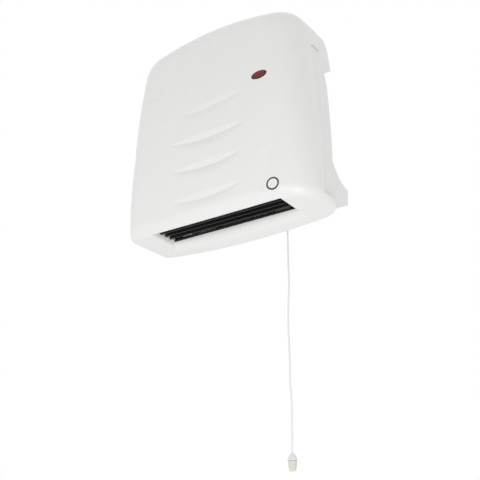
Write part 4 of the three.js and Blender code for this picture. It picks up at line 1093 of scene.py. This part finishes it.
# %% Materials
PLASTICS = {  # light tone, deep tone, lowest and highest roughness, size of the drift
    "casing_white": ((0.83, 0.83, 0.82), (0.81, 0.81, 0.8), 0.3, 0.36, 40),
    "comb_white": ((0.78, 0.78, 0.76), (0.74, 0.74, 0.72), 0.35, 0.5),
    "louvre_black": ((0.012, 0.012, 0.012), (0.006, 0.006, 0.006), 0.35, 0.5),
    "nylon": ((0.72, 0.7, 0.64), (0.66, 0.64, 0.58), 0.4, 0.55),
    "rubber": ((0.03, 0.03, 0.03), (0.02, 0.02, 0.02), 0.7, 0.9),
    "black_plastic": ((0.02, 0.02, 0.02), (0.012, 0.012, 0.012), 0.4, 0.6),
    "lead_brown": ((0.16, 0.06, 0.02), (0.12, 0.045, 0.015), 0.4, 0.55),
    "lead_blue": ((0.03, 0.1, 0.4), (0.02, 0.07, 0.3), 0.4, 0.55),
}
LINED = {  # light tone, deep tone, roughness, stretch, line scale, metallic, relief
    "zinc": ((0.62, 0.64, 0.66), (0.5, 0.52, 0.55), 0.32, 0.5, (1, 1, 1), 160),
    "steel": ((0.66, 0.67, 0.69), (0.56, 0.57, 0.59), 0.18, 0.3, (1, 0.1, 0.1), 900),
    "lamination": ((0.3, 0.31, 0.33), (0.14, 0.15, 0.16), 0.4, 0.6, (1, 0.02, 0.02), 1400, 1, 0.5),
    "winding": ((0.62, 0.2, 0.07), (0.32, 0.09, 0.03), 0.22, 0.38, (1, 0.05, 0.05), 1500, 0.7, 0.6),
    "brass": ((0.75, 0.53, 0.22), (0.62, 0.42, 0.16), 0.22, 0.36, (1, 0.1, 0.1), 700),
    "sheath": ((0.34, 0.3, 0.26), (0.16, 0.12, 0.1), 0.35, 0.6, (0.3, 1, 1), 120),
    "mica": ((0.55, 0.43, 0.27), (0.34, 0.25, 0.14), 0.4, 0.7, (0.2, 1, 1), 260, 0, 0.4),
    "cord_white": ((0.87, 0.87, 0.86), (0.8, 0.8, 0.79), 0.6, 0.8, (1, 1, 0.6), 1800, 0, 0.3),
}

finishes = {name: plastic(name, *finish) for name, finish in PLASTICS.items()}
finishes |= {name: lined_material(name, *finish) for name, finish in LINED.items()}
finishes |= {"cover_white": printed_cover(), "lens_red": lens_material(),
             "lead_earth": striped_lead(), "lamp_glass": clear_glass()}
print(len(finishes), "finishes")

dressed = [cord, cap, cup, cover, *blades, lens, casing, *combs, guide, spring]
for piece in dressed:
    piece.data.materials.clear()
    piece.data.materials.append(finishes[piece["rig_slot"]])
for node, obj in frame["nodes"].items():
    for material_slot in obj.material_slots:
        material_slot.material = finishes[slot_of[node]]

# %% [markdown]
# ## Floor, world and lamps
#
# The photograph is a cut-out on plain white, lit softly from all round. The roll below the face
# is its brightest part, so a little more light comes from below and in front, where two
# softboxes and a pale studio floor throw it up under the heater. The world shows white to the
# camera and lights the object at a lower level, because a white background that came from more
# light would bleach the white plastic.

# %% Studio floor
FLOOR_DROP = -1.4
FLOOR_PALE = (0.93, 0.93, 0.93, 1)


def make_floor():
    bm = bmesh.new()
    bmesh.ops.create_grid(bm, x_segments=1, y_segments=1, size=6)
    bmesh.ops.translate(bm, verts=bm.verts, vec=(0, 0, FLOOR_DROP))
    floor = plain_object(bm, "studio_floor")
    material, tree, shader = new_material("studio_floor")
    shader.inputs["Base Color"].default_value = FLOOR_PALE
    shader.inputs["Roughness"].default_value = 0.9
    floor.data.materials.append(material)


make_floor()

# %% World
WORLD_LIGHT = 0.8

world = bpy.data.worlds.new("studio_white")
world.use_nodes = True
bpy.context.scene.world = world
sky = world.node_tree
rays = sky.nodes.new("ShaderNodeLightPath").outputs
seen = maths(sky, "MAXIMUM", rays["Is Camera Ray"], rays["Is Transmission Ray"])
shown = maths(sky, "MAXIMUM", seen, rays["Is Glossy Ray"])
background = sky.nodes["Background"]
feed(sky, background.inputs["Strength"], ramp(sky, shown, 0, 1, WORLD_LIGHT, 1, smooth=False))
background.inputs["Color"].default_value = (1, 1, 1, 1)
print("world light", WORLD_LIGHT)

# %% Softboxes
HEATER_MIDDLE = Vector((0, -0.06, -0.08))


def softbox(name, place_at, size, power):
    """A square lamp that faces the heater's middle."""
    data = bpy.data.lights.new(name, "AREA")
    data.shape = "SQUARE"
    data.size = size
    data.energy = power
    lamp = bpy.data.objects.new(name, data)
    lamp.location = place_at
    lamp.rotation_euler = (HEATER_MIDDLE - Vector(place_at)).to_track_quat("-Z", "Y").to_euler()
    bpy.context.scene.collection.objects.link(lamp)
    print(name, power, "W")


softbox("low_right_softbox", (0.46, -0.58, -1.2), 0.55, 3.1)
softbox("low_front_softbox", (-0.16, -1.04, -0.93), 0.4, 1.6)

bpy.context.scene.view_settings.view_transform = "Standard"
